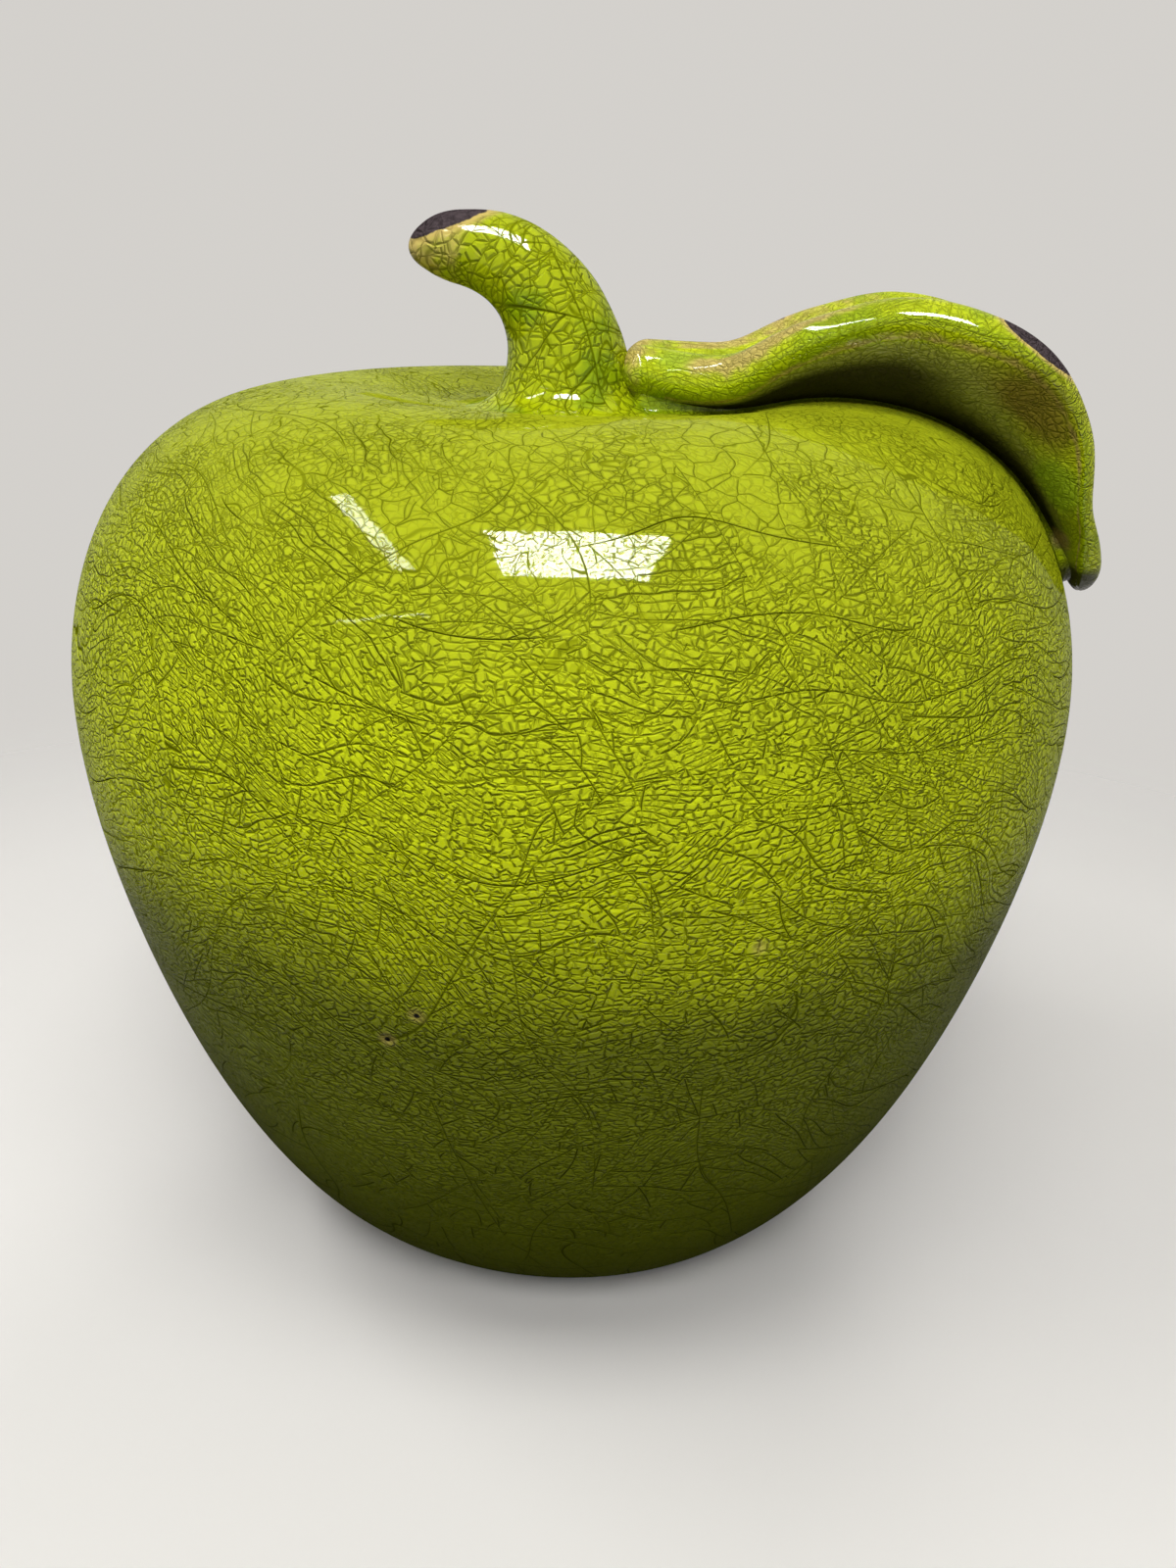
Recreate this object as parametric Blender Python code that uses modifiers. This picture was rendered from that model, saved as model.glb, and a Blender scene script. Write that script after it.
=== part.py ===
"""A glazed ceramic apple: a hollow cast body, with a bent stem and a cupped leaf luted to its top.

Metres, +Z up. The origin is under the middle of the body, on the surface that the apple stands on.
The leaf drapes over the right shoulder (+X), turned a little towards the front (-Y).
"""

import math

import bmesh
import bpy
import numpy as np

# Clearance between two pieces that touch
FIT_GAP = 0.0003

# Body: a shell turned about +Z, with heights above its foot
BODY_RADIUS = 0.115
BELLY_HEIGHT = 0.1403
CREST_RADIUS = 0.0583
CREST_HEIGHT = 0.204
DIMPLE_DEPTH = 0.0045
DIMPLE_FLOOR_RADIUS = 0.0265
FOOT_RADIUS = 0.042
FOOT_WIDTH = 0.012
FOOT_RECESS = 0.0025
FOOT_BEVEL = 0.0015
FOOT_ANGLE = math.radians(5.7)
WALL = 0.006
VENT_RADIUS = 0.0045

# How far each handle of the outline's curves pulls, as a share of the curve's own span
BELLY_PULL_DOWN = 0.288
BELLY_PULL_UP = 0.463
CREST_PULL_OUT = 0.725
FOOT_PULL = 0.592
DIMPLE_PULL = 0.45

# Felt pads under the foot ring
PAD_COUNT = 4
PAD_RADIUS = 0.005
PAD_THICKNESS = 0.002

# Stem: a tapered roll of clay, upright at its foot and bent over to the left
STEM_AXIS_X = -0.0034
STEM_RADIUS = 0.0142
STEM_TIP_RADIUS = 0.0067
STEM_RISE = 0.0324
STEM_REACH = 0.0353
STEM_TIP_DROOP = math.radians(10.9)
STEM_TIP_ROUND = 0.0107
STEM_LIFT_PULL = 0.177
STEM_REACH_PULL = 0.905

# Coil of slip that flares from the stem's foot onto the dimple's floor
COIL_HEIGHT = 0.008
COIL_REACH = 0.0245
COIL_LIP = 0.0006
COIL_PULL = 0.62

# Leaf: a cupped slab that rides on the body's outline, from its stalk by the stem to its tip
LEAF_AZIMUTH = math.radians(-6.5)
LEAF_CLEARANCE = 0.0013
LEAF_LENGTH = 0.119
LEAF_HALF_WIDTH = 0.0275
LEAF_THICKNESS = 0.0098
LEAF_CUP = 0.0134
STALK_HALF_WIDTH = 0.0078
STALK_THICKNESS = 0.0123
STALK_NOSE = 0.006
STALK_LIFT = 0.0022
STALK_TILT = 0.22
BLADE_LIFT = 0.0004
TIP_HALF_WIDTH = 0.0075
TIP_THICKNESS = 0.0054
TIP_NOSE = 0.007
TIP_LIFT = 0.0012
LOBE_WIDTH = 0.001
LOBE_LIFT = 0.0022

# Shares of the leaf's length: where the blade is widest, and where its small back lobe is
WIDEST_AT = 0.6
LOBE_AT = 0.92
LOBE_SHARE = 0.04
TILT_SHARE = 0.22
STALK_LIFT_SHARE = 0.2
TIP_LIFT_SHARE = 0.2

# How sharply a section turns up at its sides, by its stalk and by its tip
STALK_FOLD = 1.5
TIP_FOLD = 3.0

# Cup of the leaf along its length, as shares of the length and of LEAF_CUP
CUP_SHAPE = (
    (0.0, 0.1),
    (0.1, 0.12),
    (0.2, 0.22),
    (0.34, 0.62),
    (0.45, 0.94),
    (0.54, 1.0),
    (0.63, 0.93),
    (0.73, 0.52),
    (0.8, 0.18),
    (0.87, 0.02),
    (1.0, 0.0),
)

# Thickness of the leaf's rim along its length, as a share of the thickness of its middle
RIM_SHAPE = (
    (0.0, 1.0),
    (0.5, 1.0),
    (0.62, 0.8),
    (0.72, 0.55),
    (0.85, 0.5),
    (0.93, 0.8),
    (1.0, 1.0),
)

# Slip under the leaf's stalk and tip, as shares of the leaf's own half width
STALK_SLIP_LENGTH = 0.015
TIP_SLIP_LENGTH = 0.011
STALK_SLIP_SHARE = 0.85
TIP_SLIP_SHARE = 0.6
STALK_SLIP_FLARE = 0.3
TIP_SLIP_FLARE = 0.2
SLIP_DRAW = 0.8
SLIP_HOLLOW = 0.75

# Fineness of the meshes
BODY_STEPS = 64
OUTSIDE_STEPS = (7, 12, 14)
INSIDE_STEPS = (4, 9, 10)
COIL_STEPS = 48
FLARE_STEPS = 10
STEM_SIDES = 24
STEM_RINGS = 16
STEM_TIP_RINGS = 6
BEND_STEPS = 200
RIDING_STEPS = (60, 120)
RIDING_POINTS = 240
LEAF_STATIONS = 22
SLIP_RINGS = 8
SLIP_ACROSS = 9
SLIP_SIDE_STEPS = 3
NOSE_STATIONS = 5
LEAF_ACROSS = 9
EDGE_STEPS = 5
PAD_SIDES = 32

# Sections of the leaf that come closer together than this share of its length are made one
STATION_SHARE = 0.007

# The stem's last ring, as a share of the full radius: small enough to close on, not a point
LAST_RING_SHARE = 0.08

# Faces that meet at less than this are shaded as one smooth surface
SOFT_EDGE = math.radians(50)

DIMPLE_FLOOR = CREST_HEIGHT - DIMPLE_DEPTH
STEM_UPRIGHT = COIL_HEIGHT + FIT_GAP
LEAF_START = STEM_AXIS_X + STEM_RADIUS + FIT_GAP + COIL_LIP + LEAF_CLEARANCE
LEAF_END = LEAF_START + LEAF_LENGTH

GREEN_GLAZE = (0.32, 0.36, 0.008)
DEEP_GLAZE = (0.24, 0.28, 0.01)
GREY_FELT = (0.06, 0.06, 0.055)


# Small geometry helpers


def bezier(start, start_pull, end_pull, end, count):
    """Points along a cubic curve between two ends, each with its own handle."""
    t = np.linspace(0.0, 1.0, count + 1)[:, None]
    corners = [np.asarray(p, float) for p in (start, start_pull, end_pull, end)]
    weights = ((1 - t) ** 3, 3 * (1 - t) ** 2 * t, 3 * (1 - t) * t**2, t**3)
    return sum(w * p for w, p in zip(weights, corners))


def chained(*stretches):
    """Stretches of points joined into one run, with each shared end kept once."""
    first, *others = stretches
    return np.vstack([first, *(stretch[1:] for stretch in others)])


def distances_along(points):
    steps = np.linalg.norm(np.diff(points, axis=0), axis=1)
    return np.concatenate([[0.0], np.cumsum(steps)])


def left_normals(points):
    """The unit normals to the left of a run of points."""
    along = np.gradient(points, axis=0)
    along /= np.linalg.norm(along, axis=1)[:, None]
    return np.stack([-along[:, 1], along[:, 0]], axis=1)


def smooth_through(points, x):
    """A curve through a few chosen points that never overshoots them."""
    xs, ys = np.array(points, float).T
    slopes = np.gradient(ys, xs)
    steps = np.diff(ys) / np.diff(xs)
    for i in range(1, len(xs) - 1):
        if steps[i - 1] * steps[i] <= 0:
            slopes[i] = 0.0
    i = int(np.clip(np.searchsorted(xs, x) - 1, 0, len(xs) - 2))
    span = xs[i + 1] - xs[i]
    t = (x - xs[i]) / span
    rise = (2 * t**3 - 3 * t**2 + 1) * ys[i] + (3 * t**2 - 2 * t**3) * ys[i + 1]
    return rise + span * ((t**3 - 2 * t**2 + t) * slopes[i] + (t**3 - t**2) * slopes[i + 1])


def rounded_end(distance, length):
    """How full a rounded nose is at this distance from its end, from 0 to 1."""
    if distance >= length:
        return 1.0
    return math.sqrt(max(0.0, 1.0 - (1.0 - distance / length) ** 2))


# The body's outline


def dimple_outline(count):
    """From the rim of the dimple's flat floor up to the crest."""
    pull = DIMPLE_PULL * (CREST_RADIUS - DIMPLE_FLOOR_RADIUS)
    return bezier(
        (DIMPLE_FLOOR_RADIUS, DIMPLE_FLOOR),
        (DIMPLE_FLOOR_RADIUS + pull, DIMPLE_FLOOR),
        (CREST_RADIUS - pull, CREST_HEIGHT),
        (CREST_RADIUS, CREST_HEIGHT),
        count,
    )


def shoulder_outline(count):
    """From the crest down to the widest ring of the belly."""
    return bezier(
        (CREST_RADIUS, CREST_HEIGHT),
        (CREST_RADIUS + CREST_PULL_OUT * (BODY_RADIUS - CREST_RADIUS), CREST_HEIGHT),
        (BODY_RADIUS, BELLY_HEIGHT + BELLY_PULL_UP * (CREST_HEIGHT - BELLY_HEIGHT)),
        (BODY_RADIUS, BELLY_HEIGHT),
        count,
    )


def lower_outline(count):
    """From the widest ring down to the foot's outer edge."""
    pull = FOOT_PULL * (BODY_RADIUS - FOOT_RADIUS)
    return bezier(
        (BODY_RADIUS, BELLY_HEIGHT),
        (BODY_RADIUS, BELLY_HEIGHT * (1 - BELLY_PULL_DOWN)),
        (FOOT_RADIUS + pull * math.cos(FOOT_ANGLE), pull * math.sin(FOOT_ANGLE)),
        (FOOT_RADIUS, 0.0),
        count,
    )


def dimple_floor():
    return np.array([(0.0, DIMPLE_FLOOR), (DIMPLE_FLOOR_RADIUS, DIMPLE_FLOOR)])


def outer_outline(steps):
    """The whole outside, from the axis at the dimple to the foot's outer edge."""
    dimple, shoulder, lower = steps
    return chained(dimple_floor(), dimple_outline(dimple), shoulder_outline(shoulder), lower_outline(lower))


def inner_outline():
    """The inside of the wall, from the flat inner floor up to the axis under the dimple."""
    outside = outer_outline(INSIDE_STEPS)
    inside = outside - WALL * left_normals(outside)
    inside[0] = (0.0, DIMPLE_FLOOR - WALL)
    floor = FOOT_RECESS + WALL
    wall = inside[inside[:, 1] > floor]
    low, high = inside[len(wall)], wall[-1]
    share = (high[1] - floor) / (high[1] - low[1])
    corner = high + share * (low - high)
    return np.vstack([corner, wall[::-1]])


def foot_outline():
    """The flat foot ring, the recess inside it and the vent hole through the floor."""
    ring = FOOT_RADIUS - FOOT_WIDTH
    return np.array(
        [
            (ring, 0.0),
            (ring - FOOT_BEVEL, FOOT_RECESS),
            (VENT_RADIUS, FOOT_RECESS),
            (VENT_RADIUS, FOOT_RECESS + WALL),
        ]
    )


# The line on the body that the leaf rides on, from the axis outwards


def riding_line():
    dimple, shoulder = RIDING_STEPS
    line = chained(dimple_floor(), dimple_outline(dimple), shoulder_outline(shoulder))
    run = distances_along(line)
    even = np.linspace(0.0, run[-1], RIDING_POINTS)
    return np.stack([np.interp(even, run, line[:, 0]), np.interp(even, run, line[:, 1])], axis=1)


RIDING_LINE = riding_line()
RIDING_RUN = distances_along(RIDING_LINE)
RIDING_NORMALS = left_normals(RIDING_LINE)


def on_line(distance, values):
    return np.array([np.interp(distance, RIDING_RUN, values[:, i]) for i in (0, 1)])


def leaf_point(distance, side, height):
    """A point over the body: this far out along its outline, to the front, and above its surface."""
    radius, z = on_line(distance, RIDING_LINE) + height * on_line(distance, RIDING_NORMALS)
    c, s = math.cos(LEAF_AZIMUTH), math.sin(LEAF_AZIMUTH)
    return (radius * c + side * s, radius * s - side * c, z)


def body_height(distance, side):
    """How far the body's round surface has fallen away at this distance to the side."""
    radius = on_line(distance, RIDING_LINE)[0]
    return -(side**2) * on_line(distance, RIDING_NORMALS)[0] / (2 * radius)


# The leaf's sections


def fading(share, span):
    """From 1 at no distance, smoothly down to nearly 0 at twice the span."""
    return math.exp(-((share / span) ** 2))


def leaf_sizes(distance):
    """Half width, thickness, cup, lift and sideways tilt of the leaf at this distance along the body."""
    share = (distance - LEAF_START) / LEAF_LENGTH
    blade = math.sin(math.pi * share ** (math.log(0.5) / math.log(WIDEST_AT))) if share > 0 else 0.0
    end_width = STALK_HALF_WIDTH + share * (TIP_HALF_WIDTH - STALK_HALF_WIDTH)
    end_thickness = STALK_THICKNESS + share * (TIP_THICKNESS - STALK_THICKNESS)
    half = end_width + blade * (LEAF_HALF_WIDTH - end_width)
    thickness = end_thickness + blade * (LEAF_THICKNESS - end_thickness)
    cup = LEAF_CUP * smooth_through(CUP_SHAPE, share)
    lift = BLADE_LIFT + (STALK_LIFT - BLADE_LIFT) * fading(share, STALK_LIFT_SHARE)
    lift += (TIP_LIFT - BLADE_LIFT) * fading(1.0 - share, TIP_LIFT_SHARE)
    tilt = STALK_TILT * fading(share, TILT_SHARE)
    return half, thickness, cup, lift, tilt


def leaf_section(distance):
    """The sides and heights of one closed section: its top, front edge, underside and back edge."""
    half, thickness, cup, lift, tilt = leaf_sizes(distance)
    full = rounded_end(distance - LEAF_START, STALK_NOSE) * rounded_end(LEAF_END - distance, TIP_NOSE)
    share = (distance - LEAF_START) / LEAF_LENGTH
    lobe = fading(share - LOBE_AT, LOBE_SHARE)
    mid = np.linspace(-1.0, 1.0, LEAF_ACROSS)
    thick = thickness * (1.0 - (1.0 - smooth_through(RIM_SHAPE, share)) * mid**2)
    reach = max(half - thick[0] / 2, thick[0] / 8)
    side = full * mid * reach - lobe * full * LOBE_WIDTH * (mid < 0) * mid**2
    fold = STALK_FOLD + share * (TIP_FOLD - STALK_FOLD)
    rise = cup * np.abs(mid) ** fold + lobe * LOBE_LIFT * (mid < 0) * mid**2
    height = lift + thickness - thick / 2 + full * rise - tilt * side
    slope = np.gradient(height, side)
    normal = np.stack([-slope, np.ones_like(slope)], axis=1)
    normal /= np.linalg.norm(normal, axis=1)[:, None]
    middle = np.stack([side, height], axis=1)
    skin = full * thick[:, None] / 2 * normal
    top = middle + skin
    under = (middle - skin)[::-1]
    return np.vstack([top, edge_round(middle[-1], skin[-1]), under, edge_round(middle[0], -skin[0])])


def edge_round(centre, spoke):
    """The half circle round an edge, turning clockwise from the spoke, without its two ends."""
    turns = np.linspace(0.0, math.pi, EDGE_STEPS + 2)[1:-1]
    return np.array([centre + spoke * math.cos(a) + np.array([spoke[1], -spoke[0]]) * math.sin(a) for a in turns])


def leaf_underside(distance, side):
    """Height of the leaf's underside at these sides, up to the middle of each rounded edge."""
    section = leaf_section(distance)
    half_edge = (EDGE_STEPS + 1) // 2
    first = LEAF_ACROSS + EDGE_STEPS - half_edge
    under = section[first : first + LEAF_ACROSS + 2 * half_edge][::-1]
    return np.interp(side, under[:, 0], under[:, 1])


def slip_spans():
    """Where the two beads of slip start and end."""
    stalk = STEM_AXIS_X + COIL_REACH + 2 * FIT_GAP
    tip = LEAF_END - TIP_NOSE
    return {
        "leaf_stalk_luting": (stalk, stalk + STALK_SLIP_LENGTH),
        "leaf_tip_luting": (tip - TIP_SLIP_LENGTH, tip),
    }


def leaf_stations():
    """Distances of the sections: close together at the rounded ends, and one at each ring of slip."""
    turns = np.linspace(0.0, math.pi / 2, NOSE_STATIONS + 1)[1:]
    nose = LEAF_START + STALK_NOSE * (1 - np.cos(turns))
    tip = LEAF_END - TIP_NOSE * (1 - np.cos(turns))[::-1]
    rings = np.concatenate([np.linspace(*span, SLIP_RINGS) for span in slip_spans().values()])
    blade = np.linspace(nose[-1], tip[0], LEAF_STATIONS)[1:-1]
    closest = STATION_SHARE * LEAF_LENGTH
    others = [d for d in (*nose, *blade, *tip) if np.abs(rings - d).min() > closest]
    return np.sort(np.concatenate([others, rings]))


def slip_section(distance, half, flare):
    """A closed section of slip between body and leaf, with a hollow slope down to the body at both sides."""
    side = np.linspace(-half, half, SLIP_ACROSS)
    foot = side * (1 + flare)
    top = np.stack([side, leaf_underside(distance, side) - FIT_GAP], axis=1)
    under = np.stack([foot, body_height(distance, foot) + FIT_GAP], axis=1)
    front, back = (hollow_slope(top[i], under[i])[1:-1] for i in (-1, 0))
    return np.vstack([top, front, under[::-1], back[::-1]])


def hollow_slope(top, foot):
    """From the leaf's edge straight down, then out along the body."""
    fall = SLIP_HOLLOW * (top[1] - foot[1])
    run = SLIP_HOLLOW * (foot[0] - top[0])
    return bezier(top, (top[0], top[1] - fall), (foot[0] - run, foot[1]), foot, SLIP_SIDE_STEPS)


# Objects


def clear_scene():
    for obj in list(bpy.data.objects):
        bpy.data.objects.remove(obj, do_unlink=True)


def new_collection(name):
    collection = bpy.data.collections.new(name)
    bpy.context.scene.collection.children.link(collection)
    return collection


def new_material(name, colour, roughness, coat=0.0):
    material = bpy.data.materials.new(name)
    material.use_nodes = True
    shader = material.node_tree.nodes["Principled BSDF"]
    shader.inputs["Base Color"].default_value = (*colour, 1.0)
    shader.inputs["Roughness"].default_value = roughness
    shader.inputs["Metallic"].default_value = 0.0
    shader.inputs["Coat Weight"].default_value = coat
    return material


def new_object(name, data, material, collection, parent, location=(0.0, 0.0, 0.0)):
    obj = bpy.data.objects.new(name, data)
    obj.data.materials.append(material)
    obj.parent = parent
    obj.location = location
    collection.objects.link(obj)
    return obj


def turned(name, profile, steps, material, collection, parent, location=(0.0, 0.0, 0.0)):
    """A profile in the XZ plane, running down its outer side, turned about the object's Z axis."""
    mesh = bpy.data.meshes.new(name)
    points = [(r, 0.0, z) for r, z in profile]
    mesh.from_pydata(points, [(i, i + 1) for i in range(len(points) - 1)], [])
    obj = new_object(name, mesh, material, collection, parent, location)
    screw = obj.modifiers.new("Turn", "SCREW")
    screw.axis = "Z"
    screw.steps = steps
    screw.render_steps = steps
    screw.use_merge_vertices = True
    screw.merge_threshold = 0.00001
    screw.use_smooth_shade = True
    return obj


def lofted(name, rings, ends, material, collection, parent):
    """Skins closed rings of points. Each end is a single point, or None for a flat end."""
    mesh = bpy.data.meshes.new(name)
    bm = bmesh.new()
    loops = [[bm.verts.new(point) for point in ring] for ring in rings]
    count = len(loops[0])
    for low, high in zip(loops, loops[1:]):
        for i in range(count):
            j = (i + 1) % count
            bm.faces.new((low[i], low[j], high[j], high[i]))
    for loop, end in zip((loops[0], loops[-1]), ends):
        if end is None:
            bm.faces.new(loop)
            continue
        pole = bm.verts.new(end)
        for i in range(count):
            bm.faces.new((loop[i], loop[(i + 1) % count], pole))
    bmesh.ops.recalc_face_normals(bm, faces=bm.faces)
    bm.to_mesh(mesh)
    bm.free()
    mesh.shade_smooth()
    mesh.set_sharp_from_angle(angle=SOFT_EDGE)
    return new_object(name, mesh, material, collection, parent)


def make_body(material, collection, parent):
    profile = chained(outer_outline(OUTSIDE_STEPS), np.vstack([[(FOOT_RADIUS, 0.0)], foot_outline()]))
    profile = np.vstack([profile, inner_outline()])
    return turned("apple_body", profile, BODY_STEPS, material, collection, parent)


def make_coil(material, collection, parent):
    """The flared ring of slip round the stem's foot, with a thin lip at its top and its rim."""
    bore = STEM_RADIUS + FIT_GAP
    top = (bore + COIL_LIP, COIL_HEIGHT)
    rim = (COIL_REACH, COIL_LIP)
    flare = bezier(
        top,
        (top[0], top[1] - COIL_PULL * (top[1] - rim[1])),
        (rim[0] - COIL_PULL * (rim[0] - top[0]), rim[1]),
        rim,
        FLARE_STEPS,
    )
    profile = np.vstack([[(bore, COIL_HEIGHT)], flare, [(COIL_REACH, 0.0), (bore, 0.0), (bore, COIL_HEIGHT)]])
    seat = (STEM_AXIS_X, 0.0, DIMPLE_FLOOR + FIT_GAP)
    return turned("stem_luting_coil", profile, COIL_STEPS, material, collection, parent, seat)


def stem_centreline():
    """Upright through the coil, then one curve over to the left."""
    foot = np.array([(0.0, 0.0), (0.0, STEM_UPRIGHT)])
    tip = np.array([-STEM_REACH, STEM_RISE])
    pull = STEM_REACH_PULL * STEM_REACH
    bend = bezier(
        foot[1],
        (0.0, STEM_UPRIGHT + STEM_LIFT_PULL * (STEM_RISE - STEM_UPRIGHT)),
        tip + pull * np.array([math.cos(STEM_TIP_DROOP), math.sin(STEM_TIP_DROOP)]),
        tip,
        BEND_STEPS,
    )
    line = chained(foot, bend)
    run = distances_along(line)
    body = np.linspace(0.0, run[-1] - STEM_TIP_ROUND, STEM_RINGS)
    turns = np.linspace(0.0, math.pi / 2, STEM_TIP_RINGS + 1)[1:]
    at = np.concatenate([body, run[-1] - STEM_TIP_ROUND * (1 - np.sin(turns))])
    return np.stack([np.interp(at, run, line[:, 0]), np.interp(at, run, line[:, 1])], axis=1), at, run[-1]


def make_stem(material, collection, parent):
    """A tapered tube along the centreline, with its end rounded off."""
    line, at, length = stem_centreline()
    curve = bpy.data.curves.new("stem", "CURVE")
    curve.dimensions = "3D"
    curve.bevel_mode = "ROUND"
    curve.bevel_depth = 1.0
    curve.bevel_resolution = STEM_SIDES // 2 - 2
    curve.use_fill_caps = True
    spline = curve.splines.new("POLY")
    spline.points.add(len(line) - 1)
    for point, (x, z), distance in zip(spline.points, line, at):
        share = max(0.0, (distance - STEM_UPRIGHT) / (length - STEM_UPRIGHT))
        taper = STEM_RADIUS + (STEM_TIP_RADIUS - STEM_RADIUS) * share
        point.co = (x, 0.0, z, 1.0)
        point.radius = taper * max(rounded_end(length - distance, STEM_TIP_ROUND), LAST_RING_SHARE)
    spline.use_smooth = True
    seat = (STEM_AXIS_X, 0.0, DIMPLE_FLOOR + FIT_GAP)
    return new_object("stem", curve, material, collection, parent, seat)


def make_leaf(material, collection, parent):
    rings = [[leaf_point(d, *point) for point in leaf_section(d)] for d in leaf_stations()]
    ends = []
    for distance in (LEAF_START, LEAF_END):
        _, thickness, _, lift, _ = leaf_sizes(distance)
        ends.append(leaf_point(distance, 0.0, lift + thickness / 2))
    return lofted("leaf", rings, ends, material, collection, parent)


def make_slip(name, span, share_of_leaf, flare, material, collection, parent):
    """A bead of slip between body and leaf, drawn in towards both ends."""
    rings = []
    for share in np.linspace(0.0, 1.0, SLIP_RINGS):
        distance = span[0] + share * (span[1] - span[0])
        drawn = math.sqrt(1.0 - (SLIP_DRAW * (2 * share - 1)) ** 2)
        half = share_of_leaf * drawn * leaf_sizes(distance)[0]
        rings.append([leaf_point(distance, *point) for point in slip_section(distance, half, flare)])
    return lofted(name, rings, (None, None), material, collection, parent)


def make_pads(material, collection, parent):
    """Round felt pads, spread evenly round the foot ring and glued to its flat face."""
    radius = FOOT_RADIUS - FOOT_WIDTH / 2
    for number in range(PAD_COUNT):
        angle = 2 * math.pi * (number + 0.5) / PAD_COUNT
        bm = bmesh.new()
        bmesh.ops.create_cone(
            bm, cap_ends=True, segments=PAD_SIDES, radius1=PAD_RADIUS, radius2=PAD_RADIUS, depth=PAD_THICKNESS
        )
        mesh = bpy.data.meshes.new(f"felt_pad_{number + 1}")
        bm.to_mesh(mesh)
        bm.free()
        mesh.shade_smooth()
        mesh.set_sharp_from_angle(angle=SOFT_EDGE)
        place = (radius * math.cos(angle), radius * math.sin(angle), PAD_THICKNESS / 2)
        new_object(mesh.name, mesh, material, collection, parent, place)


def main():
    clear_scene()
    collection = new_collection("ceramic_apple")
    base = bpy.data.objects.new("apple_base", None)
    collection.objects.link(base)
    seat = bpy.data.objects.new("body_seat", None)
    seat.parent = base
    seat.location = (0.0, 0.0, PAD_THICKNESS + FIT_GAP)
    collection.objects.link(seat)

    body_glaze = new_material("body_glaze", GREEN_GLAZE, 0.3, 1.0)
    stem_glaze = new_material("stem_glaze", GREEN_GLAZE, 0.28, 1.0)
    leaf_glaze = new_material("leaf_glaze", GREEN_GLAZE, 0.28, 1.0)
    slip_glaze = new_material("slip_glaze", DEEP_GLAZE, 0.3, 1.0)
    felt = new_material("felt", GREY_FELT, 0.95)

    make_body(body_glaze, collection, seat)
    make_stem(stem_glaze, collection, seat)
    make_coil(slip_glaze, collection, seat)
    make_leaf(leaf_glaze, collection, seat)
    spans = slip_spans()
    for name, share, flare in (
        ("leaf_stalk_luting", STALK_SLIP_SHARE, STALK_SLIP_FLARE),
        ("leaf_tip_luting", TIP_SLIP_SHARE, TIP_SLIP_FLARE),
    ):
        make_slip(name, spans[name], share, flare, slip_glaze, collection, seat)
    make_pads(felt, collection, base)


main()
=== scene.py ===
"""Looks for the glazed ceramic apple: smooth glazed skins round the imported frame, lights and camera."""

import math

import bpy
import numpy as np
from mathutils import Matrix, Vector, noise


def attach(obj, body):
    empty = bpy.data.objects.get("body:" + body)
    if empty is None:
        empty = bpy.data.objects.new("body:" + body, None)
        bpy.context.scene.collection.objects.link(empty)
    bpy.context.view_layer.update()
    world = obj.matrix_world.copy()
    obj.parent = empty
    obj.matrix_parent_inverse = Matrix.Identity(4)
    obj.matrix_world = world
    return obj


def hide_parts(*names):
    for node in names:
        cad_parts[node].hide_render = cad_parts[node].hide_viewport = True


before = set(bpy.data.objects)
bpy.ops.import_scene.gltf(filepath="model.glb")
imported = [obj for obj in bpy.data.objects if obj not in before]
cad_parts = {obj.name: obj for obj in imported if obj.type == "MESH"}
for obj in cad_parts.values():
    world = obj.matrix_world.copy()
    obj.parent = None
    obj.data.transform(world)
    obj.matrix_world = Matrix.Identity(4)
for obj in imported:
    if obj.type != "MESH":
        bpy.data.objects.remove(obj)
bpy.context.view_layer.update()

# The body stands this high on its pads, and its outline is the same as in the frame
SEAT = 0.0023
BODY_RADIUS = 0.115
BELLY_HEIGHT = 0.1403
CREST_RADIUS = 0.0583
CREST_HEIGHT = 0.204
DIMPLE_DEPTH = 0.0045
DIMPLE_FLOOR_RADIUS = 0.0265
FOOT_RADIUS = 0.042
FOOT_WIDTH = 0.012
FOOT_RECESS = 0.0025
FOOT_BEVEL = 0.0015
FOOT_ANGLE = math.radians(5.7)
WALL = 0.006
VENT_RADIUS = 0.0045
BELLY_PULL_DOWN = 0.288
BELLY_PULL_UP = 0.463
CREST_PULL_OUT = 0.725
FOOT_PULL = 0.592
DIMPLE_PULL = 0.45
DIMPLE_FLOOR = CREST_HEIGHT - DIMPLE_DEPTH

# Stem and the flare at its foot
STEM_AXIS_X = -0.0034
STEM_RADIUS = 0.0142
STEM_TIP_RADIUS = 0.0067
STEM_RISE = 0.0324
STEM_REACH = 0.0353
STEM_TIP_DROOP = math.radians(10.9)
STEM_TIP_ROUND = 0.0107
STEM_LIFT_PULL = 0.177
STEM_REACH_PULL = 0.905
FLARE_HEIGHT = 0.008
FLARE_REACH = 0.0245
FLARE_PULL = 0.62
FLARE_SINK = 0.0004

# Leaf
LEAF_AZIMUTH = math.radians(-6.5)
LEAF_START = 0.0130
LEAF_LENGTH = 0.119
LEAF_HALF_WIDTH = 0.0275
LEAF_THICKNESS = 0.0098
LEAF_CUP = 0.0134
STALK_HALF_WIDTH = 0.0078
STALK_THICKNESS = 0.0112
STALK_NOSE = 0.006
STALK_LIFT = 0.0022
STALK_TILT = 0.22
BLADE_LIFT = 0.0004
TIP_HALF_WIDTH = 0.0075
TIP_THICKNESS = 0.0054
TIP_NOSE = 0.007
TIP_LIFT = 0.0012
WAIST_AT = 0.84
WAIST_SHARE = 0.05
WAIST_THINNER = 0.0016
LOBE_WIDTH = 0.001
LOBE_LIFT = 0.0022
WIDEST_AT = 0.6
LOBE_AT = 0.92
LOBE_SHARE = 0.04
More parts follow.
